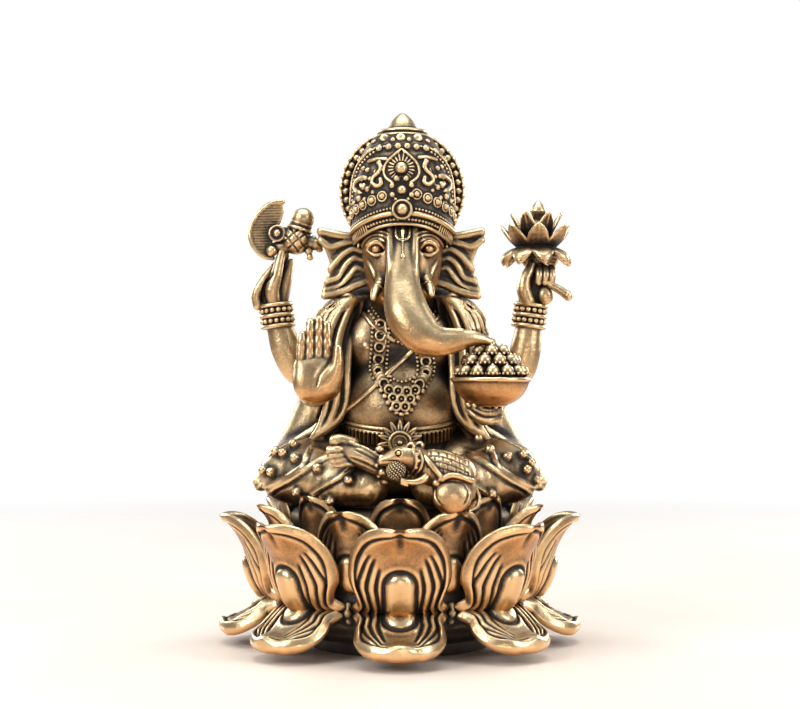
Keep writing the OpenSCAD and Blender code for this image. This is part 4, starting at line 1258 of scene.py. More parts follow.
def necklaces(torso, material):
    """The long necklace of open rings between rows of beads, and its honeycomb pendant."""
    clay = Clay([-12.5, -23.5, 61], [12.5, -6, 92], 0.18)

    def on(x, z, lift=0.0):
        return torso.front(x, z) - [0, lift, 0]

    left = [[-5.4, 90.0], [-5.5, 86.8], [-5.7, 83.6], [-6.0, 80.2], [-6.0, 76.8], [-4.4, 73.6]]
    right = [[5.9, 90.0], [6.3, 86.4], [6.8, 82.9], [7.2, 79.6], [7.1, 76.3], [5.4, 73.3]]
    for chain, s in ((left, -1), (right, 1)):
        band = torso.draped(chain, 0.0, 0.8)
        clay.strand(np.column_stack([band, np.full(len(band), 1.9)]), 0.1, steps=1, flat=0.35,
                    up=(0, -1, 0.1))
        for x, z in chain:
            clay.add(ring(on(x, z, 0.65), [0, -1, 0.15], 1.22, 0.36), 0.08)
            clay.cut(ball(on(x, z, 0.9), 0.95), 0.1)
        for off in (2.25, -2.35):
            side = [[x + off * s, z] for x, z in chain[:-1]] + [[chain[-1][0] + off * 0.8 * s,
                    chain[-1][1] - 0.7 * np.sign(off)]]
            for p in torso.draped(side, 0.35, 1.2):
                clay.add(ball(p, 0.46), 0.06)
    for p in torso.draped([[-3.3, 76.2], [-1.6, 74.7], [0.5, 74.0], [2.7, 74.6], [4.7, 75.8]], 0.4, 1.1):
        clay.add(ball(p, 0.45), 0.06)
    cells = [(-3.0, 71.9), (-0.5, 71.6), (1.9, 71.4), (4.2, 71.8), (-1.9, 69.6), (0.4, 69.3), (2.8, 69.3),
             (-1.0, 67.3), (1.4, 67.2)]
    for x, z in cells:
        clay.add(disc(on(x, z, 0.3), [0, -1, 0.1], 1.5, 0.6, 0.2), 0.2)
    for x, z in cells:
        clay.add(ring(on(x, z, 0.75), [0, -1, 0.1], 1.12, 0.33), 0.06)
        clay.cut(ball(on(x, z, 1.0), 0.8), 0.08)
        clay.add(ball(on(x, z, 0.55), 0.36), 0.04)
    for x, z in ((-5.2, 71.6), (-4.2, 70.0), (-3.3, 68.2), (-2.4, 66.5), (-0.9, 65.5), (0.4, 65.1),
                 (1.8, 65.4), (3.1, 66.3), (3.9, 68.0), (4.9, 69.6), (6.2, 71.4)):
        clay.add(ball(on(x, z, 0.4), 0.8), 0.08)
    clay.strand([[*on(0.2, 64.4, 0.2), 0.55], [*on(0.2, 62.9, 0.2), 0.8], [*on(0.2, 62.0, 0.1), 0.3]], 0.1)
    clay_piece("necklace_and_pendant", clay, material, ("jewelled_necklace", "pendant"))


def bead_strings(torso, material):
    clay = Clay([-16, -20, 80], [17, -2, 103], 0.2)
    for s in (-1, 1):
        for p in torso.draped([[0.6 + s * 12.5, 99], [0.6 + s * 9.6, 94.2], [0.6 + s * 6.8, 90.2],
                               [0.6 + s * 3.2, 86.2], [0.6, 84.6]], 0.3, 1.25):
            clay.add(ball(p, 0.5), 0.06)
        for p in torso.draped([[0.6 + s * 11.4, 99.4], [0.6 + s * 8.6, 95.0], [0.6 + s * 5.8, 91.2],
                               [0.6 + s * 2.0, 87.6]], 0.3, 1.1):
            clay.add(ball(p, 0.42), 0.06)
        cord = torso.draped([[0.6 + s * 12.4, 97.0], [0.6 + s * 10.4, 92.4], [0.6 + s * 7.0, 88.6],
                             [0.6 + s * 2.4, 85.4]], 0.15, 0.8)
        clay.strand(np.column_stack([cord, np.full(len(cord), 0.62)]), 0.1, steps=1)
    clay_piece("bead_necklace", clay, material, ("bead_necklace",))


def torso(antique):
    clay = torso_clay()
    belt(clay, antique)
    buckle(antique)
    thread(clay, antique)
    necklaces(clay, antique)
    bead_strings(clay, antique)
    clay_piece("torso", clay, antique, ("torso",))


def shawl(material):
    """The shawl hangs over the shoulders in folds, falls past the hips and fans out over the knees."""
    clay = Clay([-45, -16, 38.5], [45, 23, 103], 0.34)
    clay.add(egg([0, 8.5, 76], [19.5, 8, 24]))
    clay.add(egg([0, 7.0, 50], [23, 11.5, 13]), 3)
    for s in (-1, 1):
        clay.add(egg([16.5 * s, 2, 90.5], [7.6, 8.2, 7.6]), 3)
        clay.strand([[3 * s, 4.5, 99.0, 4.2], [12.5 * s, 4, 98.6, 3.6]], 1.5, steps=1)
        clay.strand([[5 * s, 1, 96.4, 4.6], [11 * s, 0.5, 96.0, 4.7], [17 * s, 1, 93.6, 4.4]], 1.5, steps=3)
    for s, x in ((-1, -1), (1, 1)):
        clay.strand([[14.5 * x, -4, 96.5, 3.2], [18.0 * x, -7.5, 88, 4.2], [18.0 * x, -10, 78, 3.8],
                     [17.8 * x, -10, 68, 3.4], [21 * x, -8, 60.5, 3.2], [27 * x, -4, 56, 3.4],
                     [34 * x, 1, 50.5, 3.2], [39.5 * x, -1, 45.2, 2.4]], 2.0)
        clay.strand([[21 * x, 5, 80, 5], [24 * x, 5, 66, 6], [29 * x, 5, 54, 6.4], [33 * x, 4, 46, 5.5]], 3)
    clay.settle()
    for s in (-1, 1):
        for k, offset in enumerate((-2.7, 0.2, 3.0)):
            fold = [[(11.8 + offset * 0.5) * s, 98], [(14.6 + offset) * s, 93], [(16.8 + offset) * s, 86],
                    [(17.4 + offset) * s, 77], [(17.6 + offset * 0.9) * s, 68],
                    [(21 + offset * 0.8) * s, 60.6 - 0.5 * offset], [(28 + offset * 0.4) * s, 55 - offset]]
            clay.ridge(fold, 1.15 - 0.1 * k, -0.1, 0.9, taper=True)
            gap = [[x + 1.45 * s, z] for x, z in fold]
            clay.ridge(gap, 0.5, 0.05, 0.5, carve=True, taper=True)
        for k in range(5):
            start, end = (9.0 + 2.0 * k, 98.2 - 0.25 * k), (19.5 + 1.5 * k, 88.0 - 0.2 * k)
            over = [[start[0] * s, start[1]], [(start[0] + 0.55 * (end[0] - start[0]) + 1.2) * s,
                                               start[1] - 3.6], [end[0] * s, end[1]]]
            clay.ridge(over, 0.8, 0.0, 0.6, taper=True)
            clay.ridge([[q[0] + 0.95 * s, q[1] - 0.6] for q in over], 0.5, 0.05, 0.4, carve=True,
                       taper=True)
        for k in range(5):
            fan = [[(33.5 + 1.4 * k) * s, 51.5 - 0.6 * k], [(38.5 + 0.9 * k) * s, 47.0 - 0.9 * k]]
            clay.ridge(fan, 0.5, 0.0, 0.4, carve=True)
    folds = []
    for k in range(7):
        lean = (k - 3) / 3.0
        path = spline([[lean * 7, 0, 96], [lean * 11, 0, 84], [lean * 14, 0, 70], [lean * 17, 0, 56],
                       [lean * 18.5, 0, 46]], 6)
        folds.append([back_of(clay, x, z) for x, _, z in path])
        folds.append([back_of(clay, x + 2.4, z) for x, _, z in path])
    for k, fold in enumerate(folds):
        width = np.linspace(0.75, 1.35, len(fold)) if k % 2 == 0 else np.linspace(0.5, 0.8, len(fold))
        clay.strand(np.column_stack([fold, width]), 0.9, carve=bool(k % 2), steps=1)
    return clay_piece("shawl", clay, material, ("shawl", "shawl_tassels"))


def back_of(clay, x, z):
    """The place where the skin is first met from behind."""
    count = clay.d.shape[1]
    y = clay.low[1] + clay.cell * np.arange(count)
    d = clay.sample(np.stack([np.full(count, float(x)), y, np.full(count, float(z))], 1))
    hit = np.nonzero(d < 0)[0]
    return np.array([x, y[hit[-1]] if len(hit) else y[int(np.argmin(d))], z])


def legs(material):
    """Both folded legs in wide trousers, with soft rolls of cloth and round studs."""
    clay = Clay([-44, -38, 38.8], [44, 14, 63], 0.34)
    for s in (-1, 1):
        clay.strand([[8 * s, 2, 52, 10.0], [19 * s, -3, 50.8, 9.6], [27 * s, -8, 49.4, 8.9],
                     [30.4 * s, -9, 48.6, 8.3]], 1.0)
        clay.strand([[28.8 * s, -10, 48.6, 8.1], [22 * s, -19, 47.8, 7.6], [15 * s, -25, 47, 6.6],
                     [8.5 * s, -28, 46.2, 5.6]], 2.0)
        clay.add(egg([31.8 * s, -11, 48.4], [6.8, 7.0, 6.9]), 2.0)
    clay.settle()
    hems = (
        [[24.6, 56.4], [25.6, 53.6], [26.5, 51.4], [29.7, 48.8], [33.2, 46.8], [37.2, 44.6]],
        [[18.0, 55.4], [21.5, 53.2], [25.4, 50.6], [30.2, 47.1], [34.4, 44.6], [37.0, 42.2]],
        [[11.6, 52.6], [13.6, 50.6], [17.1, 48.0], [20.2, 46.2], [22.8, 44.3], [25.0, 41.6]],
    )
    for s in (-1, 1):
        for line in hems:
            clay.ridge([[x * s, z] for x, z in line], 0.6, 0.0, 0.8, taper=True)
            clay.ridge([[(x - 0.9) * s, z - 0.7] for x, z in line], 0.26, -0.02, 0.4, carve=True,
                       taper=True)
        clay.ridge([[20 * s, 59.6], [26 * s, 58.6], [32 * s, 56.4], [36.4 * s, 53.2]], 0.35, 0.0, 0.6,
                   carve=True, taper=True)
    for x, z in ((-22.1, 58.3), (-29.3, 56.2), (-34.0, 54.4), (-32.0, 54.0), (-28.3, 52.9), (-37.2, 49.6),
                 (-35, 49.2), (-21.8, 50.6), (-13.4, 47.9), (-27.5, 44.4), (-18.5, 42.6), (22, 57.7),
                 (24.3, 55), (29.0, 53.3), (33.6, 53.6), (35.8, 51.6), (34.4, 49.9), (37.4, 47.0),
                 (24.3, 44.2)):
        place = clay.front(x, z)
        out = clay.outward(place)
        clay.add(ball(place + out * 0.75, 1.3), 0.2)
        clay.add(ring(place + out * 0.1, out, 1.2, 0.25), 0.1)
    for s in (-1, 1):
        for a in (0.5, 1.1, 1.7, 2.3):
            place = np.array([38.8 * s * math.sin(a) * 0.98, -7 - 4 * math.cos(a), 50.5 - 3.4 * a])
            clay.add(ball(place, 1.2), 0.2)
    return clay_piece("legs", clay, material, ("right_leg", "left_leg", "trouser_studs"))


def foot(material):
    """The left foot rests sole forward across the lap, its toes to the viewer's left."""
    clay = Clay([-22, -40, 44], [2, -24, 64], 0.22)
    clay.strand([[0.5, -31, 48.8, 3.2], [-5, -32.6, 51.6, 3.3], [-10.5, -33.0, 54.2, 3.4],
                 [-14.4, -32.6, 55.8, 3.1]], 1.0, flat=0.85, up=(0.4, 0, 1))
    clay.strand([[-12.5, -33.4, 57.6, 1.7], [-15.4, -33.8, 58.6, 1.6], [-17.0, -34.2, 58.4, 1.7]], 0.5)
    clay.add(egg([-17.5, -35.2, 58.7], [1.0, 0.8, 1.0]), 0.2)
    for i, (x, z, r) in enumerate(((-18.4, 56.0, 1.05), (-18.1, 54.5, 1.0), (-17.5, 53.2, 0.95),
                                   (-16.8, 52.1, 0.85))):
        clay.strand([[x + 4.6, -34.0, z + 0.1, r * 0.8], [x + 2.0, -35.2, z + 0.25, r],
                     [x, -34.8, z, r * 1.08]], 0.3)
    clay.settle()
    clay.ridge([[-13.4, 58.2], [-9, 56.4], [-5, 54.0], [-1.5, 52.2]], 0.45, 0.0, 0.5, taper=True)
    clay.ridge([[-13.0, 54.0], [-9.6, 52.8], [-5.5, 50.6]], 0.28, 0.0, 0.5, carve=True, taper=True)
    clay.ridge([[-12.0, 56.2], [-8.5, 54.6], [-4.8, 52.4]], 0.24, 0.0, 0.5, carve=True, taper=True)
    for x, z in ((-5.4, 56.0), (-4.9, 53.1), (-4.6, 50.3), (-3.9, 47.7)):
        place = clay.front(x, z)
        clay.add(ball([x, place[1] - 0.3, z], 1.15), 0.15)
    for x, z in ((-6.6, 55.2), (-6.1, 52.0), (-5.6, 49.2)):
        clay.add(ball([x, clay.front(x, z)[1] - 0.1, z], 0.6), 0.1)
    return clay_piece("left_foot_and_anklet", clay, material, ("left_foot", "anklet"))


# ---- Arms and hands ----


def arm(name, points, material, node, blend=1.5):
    p = np.array(points, float)
    r = p[:, 3].max() + 1.5
    clay = Clay(p[:, :3].min(0) - r, p[:, :3].max(0) + r, 0.34)
    clay.strand(points, blend, steps=5)
    return clay_piece(name, clay, material, (node,), rounds=2)


def cuff(s, wrist, material):
    """A wrist cuff: three plain rims with a row of beads in each channel between them."""
    low, high = box("right_rear_cuff" if s < 0 else "left_rear_cuff")
    radius = (high[1] - low[1]) / 2
    axis = np.array([0.12 * s, 0, 1.0])
    axis /= np.linalg.norm(axis)
    clay = Clay(np.array(wrist) - [8, 8, 6], np.array(wrist) + [8, 8, 6], 0.2)
    clay.add(disc(wrist, axis, radius - 0.7, 3.3, 0.3))
    for k in (-3.0, 0.0, 3.0):
        clay.add(ring(np.array(wrist) + axis * k, axis, radius - 0.55, 0.64), 0.1)
    across = np.cross(axis, [0, 1, 0])
    across /= np.linalg.norm(across)
    for k in (-1.5, 1.5):
        for a in np.linspace(0, 2 * math.pi, 16, endpoint=False) + (0.2 if k > 0 else 0):
            spot = np.array(wrist) + axis * k + (radius - 0.55) * (math.cos(a) * across + math.sin(a)
                    * np.array([0, 1, 0]))
            clay.add(ball(spot, 0.74), 0.06)
    name = "right_rear_cuff" if s < 0 else "left_rear_cuff"
    return clay_piece(name, clay, material, (name,))


def right_rear_hand(material):
    """Seen from the front: the palm's edge on the left, then two long fingers reaching up to the axe."""
    clay = Clay([-44, -7, 93], [-26, 8, 114], 0.22)
    clay.strand([[-35.4, 1, 95, 3.4], [-36.2, 1, 98.5, 3.6], [-36.4, 1.2, 102.5, 3.0],
                 [-35.2, 0.8, 106, 2.2]], 0.8, flat=0.8, up=(0, 1, 0))
    clay.strand([[-40.6, -0.5, 95.6, 1.3], [-40.9, -0.8, 99, 1.45], [-39.0, -0.9, 102.6, 1.5],
                 [-36.8, -0.8, 105.6, 1.2], [-35.6, -0.6, 107.4, 0.9]], 0.3)
    clay.strand([[-36.0, -1.6, 96.8, 1.9], [-36.3, -2.3, 100, 2.0], [-35.2, -2.6, 104, 1.65],
                 [-34.4, -2.3, 107.6, 1.4], [-33.7, -1.8, 110.8, 1.1]], 0.3)
    clay.strand([[-34.2, 0.8, 97.0, 2.2], [-33.4, 0.8, 100.6, 2.1], [-32.4, 0.6, 104.4, 1.6],
                 [-31.2, 0.4, 108.4, 0.8]], 0.3)
    clay.strand([[-34.8, 2.2, 99, 1.7], [-34.0, 2.6, 104, 1.5], [-32.8, 2.0, 110.6, 1.1]], 0.4)
    clay.settle()
    clay.ridge([[-38.6, 97.0], [-38.9, 99.6], [-37.6, 102.6], [-36.0, 105.0]], 0.7, 0.1, 0.3, carve=True,
               taper=True)
    return clay_piece("right_rear_hand", clay, material, ("right_rear_hand",))


def left_rear_hand(material):
    """A fist round the lotus stem: the thumb's side on the left and three curled fingers on the right."""
    clay = Clay([32, -8, 93], [48, 8, 110], 0.22)
    clay.strand([[37.4, 1, 95, 3.3], [37.8, 0.8, 98.5, 3.8], [38.4, 0.6, 102, 3.3]], 0.8, flat=0.85,
                up=(0, 1, 0))
    clay.strand([[36.4, -2.0, 97, 2.2], [35.3, -2.6, 100, 2.1], [35.5, -2.8, 103, 1.7],
                 [36.6, -2.6, 105.4, 1.45], [37.3, -2.2, 107.2, 1.2]], 0.4)
    clay.add(egg([41.3, -2.0, 98.6], [2.3, 2.2, 2.8]), 0.6)
    for x in (39.4, 41.3, 43.1):
        clay.strand([[x - 0.2, 0.8, 106.0, 1.1], [x, -2.2, 106.2, 1.1], [x + 0.1, -3.6, 104.4, 1.1],
                     [x - 0.2, -3.4, 102.2, 1.05]], 0.2)
    return clay_piece("left_rear_hand", clay, material, ("left_rear_hand",))


def stem(material):
    clay = Clay([36, -8, 96], [51, 4, 112], 0.2)
    clay.strand([[47.4, -4.2, 98.4, 1.25], [45.4, -4.2, 99.8, 1.2], [42.6, -3.6, 101.6, 1.0],
                 [40.4, -2.4, 104, 1.0], [39.2, -0.6, 107.5, 1.1], [39, 0.6, 110, 1.3]], 0.1)
    clay.add(egg([47.6, -4.2, 98.3], [1.3, 1.5, 1.5]), 0.3)
    clay.settle()
    for k in (-1, 1):
        clay.ridge([[43.4, 100.8 + 0.5 * k], [47.0, 98.4 + 0.6 * k]], 0.2, 0.0, 0.1, carve=True)
    return clay_piece("lotus_stem", clay, material, ("lotus_stem",))


def flower(material):
    """The lotus held up: two rings of keeled petals over a ring of drooping sepals, round a bud."""
    c = np.array([39.0, 1.0, 110.8])
    clay = Clay(c - [12, 12, 6], c + [12, 12, 16.5], 0.22)
    clay.strand([[*(c + [0, 0, -4.0]), 1.8], [*(c + [0, 0, -1.5]), 3.2], [*(c + [0, 0, 1.5]), 4.2]], 0.5)

    def leaf(turn, start, bend, tip, width, keel):
        a = math.radians(turn)
        out = np.array([math.sin(a), -math.cos(a), 0])
        side = np.array([math.cos(a), math.sin(a), 0])
        path = np.array([c + out * q[0] + [0, 0, q[1]] for q in (start, bend, tip)])
        run = path[2] - path[0]
        face = np.cross(run, side)
        face /= np.linalg.norm(face)
        mid = spline(path, 5)
        t = np.linspace(0, 1, len(mid))
        r = width * (np.sin(np.pi * np.clip(t * 0.86 + 0.14, 0, 1)) ** 0.75 + 0.03)
        clay.strand(np.column_stack([mid, r]), 0.12, steps=1, flat=0.27, up=face)
        lift = mid + face * (0.55 if np.dot(face, out) > 0 else -0.55)
        clay.strand(np.column_stack([lift, np.linspace(keel, 0.2, len(mid))]), 0.25, steps=1)
        for s in (-1, 1):
            edge = mid + side * s * r[:, None] * 0.9 - face * 0.1
            clay.strand(np.column_stack([edge, np.full(len(mid), 0.36)]), 0.15, steps=1)

    for i in range(8):
        leaf(45 * i + 10, (3.4, -0.4), (7.0, 0.2), (9.6, -3.4), 3.1, 0.42)
    for i in range(7):
        leaf(360 * i / 7, (3.0, 0.8), (6.8, 3.8), (9.8, 7.8), 3.0, 0.3)
    for i in range(6):
        leaf(60 * i + 28, (2.0, 2.4), (4.6, 7.0), (6.8, 11.2), 2.5, 0.3)
    clay.add(egg(c + [0.4, 0, 5.4], [2.7, 2.7, 4.8]), 0.3)
    bud = [[1.6, 5.0], [1.4, 9.2], [1.7, 10.6], [2.3, 12.0], [1.9, 13.2], [0.9, 14.4], [0.15, 15.4]]
    clay.add(lathe([c[0] + 0.6, c[1], c[2]], bud), 0.2)
    return clay_piece("lotus_flower", clay, material, ("lotus_flower",))


def axe(material):
    """The short axe: a hatched crescent blade, a hub wound with a lattice, and a domed knob."""
    hub = np.array([-29.6, -1.0, 114.4])
    clay = Clay([-45, -6, 104], [-20.5, 4.5, 127.5], 0.22)
    outer = [[-33.5, 125.4], [-36.4, 125.0], [-39.4, 123.0], [-41.6, 120.2], [-42.7, 117.2], [-42.4, 114.2],
             [-41.0, 111.6], [-38.9, 109.8], [-36.4, 109.3]]
    inner = [[-36.4, 111.0], [-36.7, 113.2], [-35.6, 116.0], [-34.7, 118.4], [-34.0, 119.6], [-33.1, 122.6]]
    clay.add(plate(outer + inner, -0.6, 0.62, 0.25))
    rim = [[x, -0.6, z, 0.72] for x, z in outer]
    clay.strand(rim, 0.2)
    for z in np.arange(111.6, 124.6, 0.78):
        clay.strand([[-43, -1.28, z, 0.2], [-33, -1.28, z + 0.2, 0.2]], 0.05, carve=True, steps=1)
    clay.strand(rim, 0.1)
    clay.add(ball(hub, 4.15), 0.2)
    knob = np.array([-27.9, -1.0, 119.8])
    lean = (knob - hub) / np.linalg.norm(knob - hub)
    clay.strand([[*hub, 3.6], [*(hub + lean * 4), 3.1], [*(hub + lean * 6.2), 3.2]], 0.3, steps=2)
    clay.add(egg(knob + lean * 0.4, [2.95, 2.9, 2.8]), 0.3)
    for h, r, w in ((3.2, 3.2, 0.5), (4.7, 2.95, 0.35), (7.0, 2.3, 0.3)):
        clay.add(ring(hub + lean * h, lean, r, w), 0.1)
    clay.add(ball(knob + lean * 2.9, 0.8), 0.6)
    turn = np.radians(6)
    for k in range(-2, 3):
        for sign in (-1, 1):
            a = turn + sign * math.pi / 4
            along_line, off_line = np.array([math.sin(a), math.cos(a)]), np.array([math.cos(a),
                    -math.sin(a)])
            points = []
            for t in np.linspace(-4, 4, 13):
                q = along_line * t + off_line * 2.3 * (k + 0.3)
                if np.hypot(*q) < 3.95:
                    depth = math.sqrt(4.15**2 - q @ q)
                    points.append([hub[0] + q[0], hub[1] - depth, hub[2] + q[1], 0.3])
            if len(points) > 1:
                clay.strand(points, 0.08, carve=True, steps=1)
                clay.strand([[x, 2 * hub[1] - y, z, r] for x, y, z, r in points], 0.08, carve=True, steps=1)
    clay.strand([[-35.6, -0.6, 116.4, 1.9], [-32.0, -0.8, 115.4, 2.6]], 0.4, steps=1)
    clay.strand([[-36.4, -0.6, 112.0, 1.5], [-32.6, -0.8, 112.6, 2.2]], 0.4, steps=1)
    disc_place = np.array([-34.9, -2.2, 116.1])
    clay.add(disc(disc_place, [0, 1, 0], 2.2, 1.2, 0.3), 0.2)
    clay.add(ring(disc_place - [0, 1.1, 0], [0, 1, 0], 2.1, 0.35), 0.1)
    clay.add(ball(disc_place - [0, 1.0, 0], 1.15), 0.2)
    clay.add(ball([-36.4, -2.0, 111.2], 1.6), 0.1)
    clay.strand([[-29, -1, 114, 2.6], [-25.4, -1.2, 113.4, 1.9], [-23.4, -1.2, 112.8, 1.5]], 0.3, steps=2)
    for p, r in (((-24.0, -1.6, 113.2), 1.5), ((-22.9, -1.0, 111.9), 1.1), ((-25.6, -1.6, 109.4), 1.0),
                 ((-24.6, -1.2, 114.8), 0.9), ((-26.0, -1.8, 111.2), 1.2)):
        clay.add(ball(p, r), 0.25)
    return clay_piece("axe", clay, material, ("axe_blade", "axe_handle"))


def blessing_hand(material):
    clay = Clay([-31.5, -29, 66.5], [-14, -15, 94.5], 0.22)
    clay.add(egg([-22.9, -21.2, 75.2], [6.4, 3.4, 6.7]))
    clay.add(egg([-22.2, -21.8, 72.4], [5.8, 3.6, 4.0]), 1.5)
    clay.strand([[-26.6, -21.6, 78.6, 2.0], [-19.8, -21.6, 79.0, 2.0]], 1.5)
    tips = ((-26.6, 88.0), (-24.4, 91.5), (-22.0, 92.2), (-19.9, 90.8))
    for i, (x, z) in enumerate(tips):
        root = -26.9 + 2.4 * i
        r = (1.3, 1.36, 1.36, 1.3)[i]
        clay.strand([[root, -21.8, 77.0, r], [root, -22.2, 81, r * 1.02], [x, -22.1, z - r, r * 0.92]], 0.2,
                    steps=3)
        for t in (0.04, 0.4, 0.76):
            p = np.array([root, -22.65, 81.0]) * (1 - t) + np.array([x, -22.6, z - 1.6]) * t
            clay.add(egg(p, [r * 0.92, r * 0.68, 1.75]), 0.4)
    clay.strand([[-19.2, -22.2, 72.2, 2.6], [-17.6, -23.2, 76.0, 2.2], [-16.9, -24.0, 79.6, 1.6],
                 [-16.8, -24.3, 83.0, 1.15]], 1.0)
    clay.add(egg([-26.0, -23.0, 74.0], [2.6, 1.8, 4.4]), 1.5)
    clay.add(egg([-20.2, -23.4, 74.6], [2.8, 1.9, 4.2], (0, 20, 0)), 1.5)
    clay.settle()
    clay.ridge([[-19.2, 79.6], [-20.6, 77.6], [-22.0, 75.4], [-22.6, 72.6]], 0.26, 0.0, 0.5, carve=True,
               taper=True)
    return clay_piece("blessing_hand", clay, material, ("blessing_hand",))


def bowl_hand(material):
    clay = Clay([14, -31, 60], [30, -13, 71.5], 0.22)
    clay.add(egg([22.6, -21.4, 65.4], [4.3, 4.6, 2.6]))
    clay.strand([[26.4, -21.6, 64.2, 1.6], [23.6, -24.6, 63.9, 1.5], [20.4, -25.0, 65.0, 1.2],
                 [18.4, -23.8, 66.6, 0.9]], 0.6)
    clay.strand([[26.6, -21.8, 66.2, 1.5], [23.8, -25.0, 66.0, 1.4], [20.6, -25.2, 66.6, 1.1],
                 [18.8, -23.6, 67.6, 0.8]], 0.5)
    clay.settle()
    for lean in (0.0, 1.5):
        clay.ridge([[25.8, 64.6 + lean], [23.2, 64.5 + lean], [20.8, 65.4 + lean], [19.0, 66.6 + lean]],
                   0.26, 0.0, 0.25, carve=True, taper=True)
    for k, x in enumerate((18.6, 20.2, 22.0, 23.8, 25.6)):
        clay.add(ball([x, -25.6 + 0.08 * (x - 22) ** 2, 67.8 - 0.1 * k], 0.95), 0.2)
    return clay_piece("bowl_hand", clay, material, ("bowl_hand",))


def bowl(material):
    low, high = box("bowl")
    c = (low + high) / 2
    rim, r = high[2], (high[0] - low[0]) / 2
    clay = Clay([c[0] - r - 1.5, c[1] - r - 1.5, low[2] - 1], [c[0] + r + 1.5, c[1] + r + 1.5, rim + 1.5],
                0.25)
    side = spline([[2.6, -7.6], [4.4, -7.25], [6.5, -6.3], [8.3, -4.9], [9.5, -3.2], [10.2, -1.5],
                   [r, -0.2]], 5)
    clay.add(lathe([c[0], c[1], rim], side.tolist() + [[r, 0.0], [9.4, 0.0], [9.0, -1.4], [6.8, -3.9],
                                                       [4, -5.6]]))
    clay.add(ring([c[0], c[1], rim - 0.35], [0, 0, 1], r - 0.25, 0.62), 0.2)
    clay.settle()
    clay.add(ring([c[0], c[1], rim - 7.3], [0, 0, 1], 3.8, 0.45), 0.3)
    return clay_piece("bowl", clay, material, ("bowl",))


def ribbed_sweet(clay, place, r):
    """A round sweet with a ring of small lumps and one on its top."""
    clay.add(ball(place, r * 0.94), 0.05)
    for count, w, h, size in ((9, 0.93, -0.32, 0.38), (1, 0.0, 0.92, 0.4)):
        for k in range(count):
            a = 2 * math.pi * k / count
            clay.add(ball([place[0] + r * w * math.sin(a), place[1] - r * w * math.cos(a),
                           place[2] + r * h], size), 0.08)


def sweets(material):
    low, high = box("bowl")
    c, rim = (low + high) / 2, high[2]
    clay = Clay([c[0] - 11, c[1] - 11, rim - 4], [c[0] + 11, c[1] + 11, rim + 11.5], 0.2)
    clay.add(lathe([c[0], c[1], rim], [[8.6, -3.4], [8.6, 0], [7.2, 2.4], [4.2, 5.6], [1.0, 7.8]]))
    for radius, height, count in ((8.4, 1.8, 13), (6.4, 4.7, 10), (3.8, 7.2, 6), (0.01, 9.0, 1)):
        for i in range(count):
            a = 2 * math.pi * (i + 0.5 * (height > 3) * (height < 6)) / count
            ribbed_sweet(clay, [c[0] + radius * math.sin(a), c[1] - radius * math.cos(a), rim + height],
                         1.9)
    return clay_piece("sweets", clay, material, ("sweets",), rounds=0)


# ---- The mouse ----


def mouse(material):
    """The mouse sits up on the lotus beside the foot, saddled, and holds a round sweet to its mouth."""
    clay = Clay([-8, -45, 38.6], [24, -25, 60.5], 0.2)
    clay.add(egg([14.4, -34.2, 45.6], [5.7, 5.4, 5.9]))
    clay.strand([[14.6, -33.4, 48.0, 5.0], [10.6, -34, 50.4, 4.4], [6.2, -35, 52.4, 3.7],
                 [2.8, -36, 54.0, 3.4], [-0.4, -36.9, 54.2, 2.7], [-3.0, -37.6, 53.7, 1.75],
                 [-4.8, -37.9, 53.3, 1.1]], 1.2)
    clay.add(egg([13.7, -37.6, 43.9], [5.1, 3.4, 4.9]), 0.4)
    clay.strand([[-3.2, -37.6, 52.4, 0.7], [-1.0, -37.4, 51.9, 0.9], [1.4, -37, 51.7, 1.1]], 0.5)
    for x, y, z, r in ((2.9, -36.9, 57.0, 1.3), (5.2, -35.0, 57.2, 1.25)):
        clay.add(egg([x, y, z], [r, 0.95, r]), 0.4)
        clay.cut(egg([x - 0.3, y - 0.9, z], [r * 0.5, 0.4, r * 0.5]), 0.2)
    clay.settle()
    eye = clay.front(-0.4, 55.4)
    clay.cut(ball(eye, 0.85), 0.2)
    clay.add(ball(eye + [0, 0.1, 0], 0.62), 0.1)
    clay.ridge([[-1.6, 55.6], [-0.6, 56.4], [0.8, 56.1]], 0.26, 0.0, 0.15, taper=True)
    clay.ridge([[-4.6, 53.4], [-2.6, 53.5], [-0.6, 53.3]], 0.26, 0.0, 0.15, carve=True)
    clay.add(ball([-5.0, -37.9, 54.4], 0.6), 0.3)
    for off, r in ((0.0, 0.42), (1.5, 0.42)):
        clay.ridge([[2.3 + off, 49.4], [3.4 + off, 50.6], [4.2 + off, 52.2], [4.3 + off, 54.0],
                    [3.6 + off, 55.8]], r, 0.0, 0.15)
    for x, z in ((3.3, 50.0), (4.3, 51.6), (4.9, 53.4), (4.6, 55.1)):
        clay.add(ball(clay.front(x, z), 0.5), 0.1)
    clay.strand([[7.4, -36.6, 50.2, 1.6], [6.2, -38.6, 48.6, 1.1], [3.8, -39.6, 47.8, 0.85],
                 [2.0, -39.8, 47.9, 0.75]], 0.4)
    for k in range(3):
        clay.strand([[1.8, -40.1, 47.0 + 0.55 * k, 0.4], [0.4, -40.3, 47.5 + 0.6 * k, 0.32]], 0.1, steps=1)
    clay.ridge([[17.0, 47.0], [17.9, 44.6], [16.6, 42.0]], 0.3, 0.0, 0.3, carve=True, taper=True)
    clay.ridge([[9.4, 46.6], [9.2, 44.2], [10.6, 42.0]], 0.28, 0.0, 0.3, carve=True, taper=True)
    tail = [[19.6, -34.0, 46.0, 0.7], [20.8, -33.0, 43.6, 0.65], [20.4, -35.0, 41.2, 0.6],
            [18.2, -37.4, 40.2, 0.45]]
    clay.strand(tail, 0.3)
    return clay_piece("mouse", clay, material, ("mouse", "mouse_tail"))


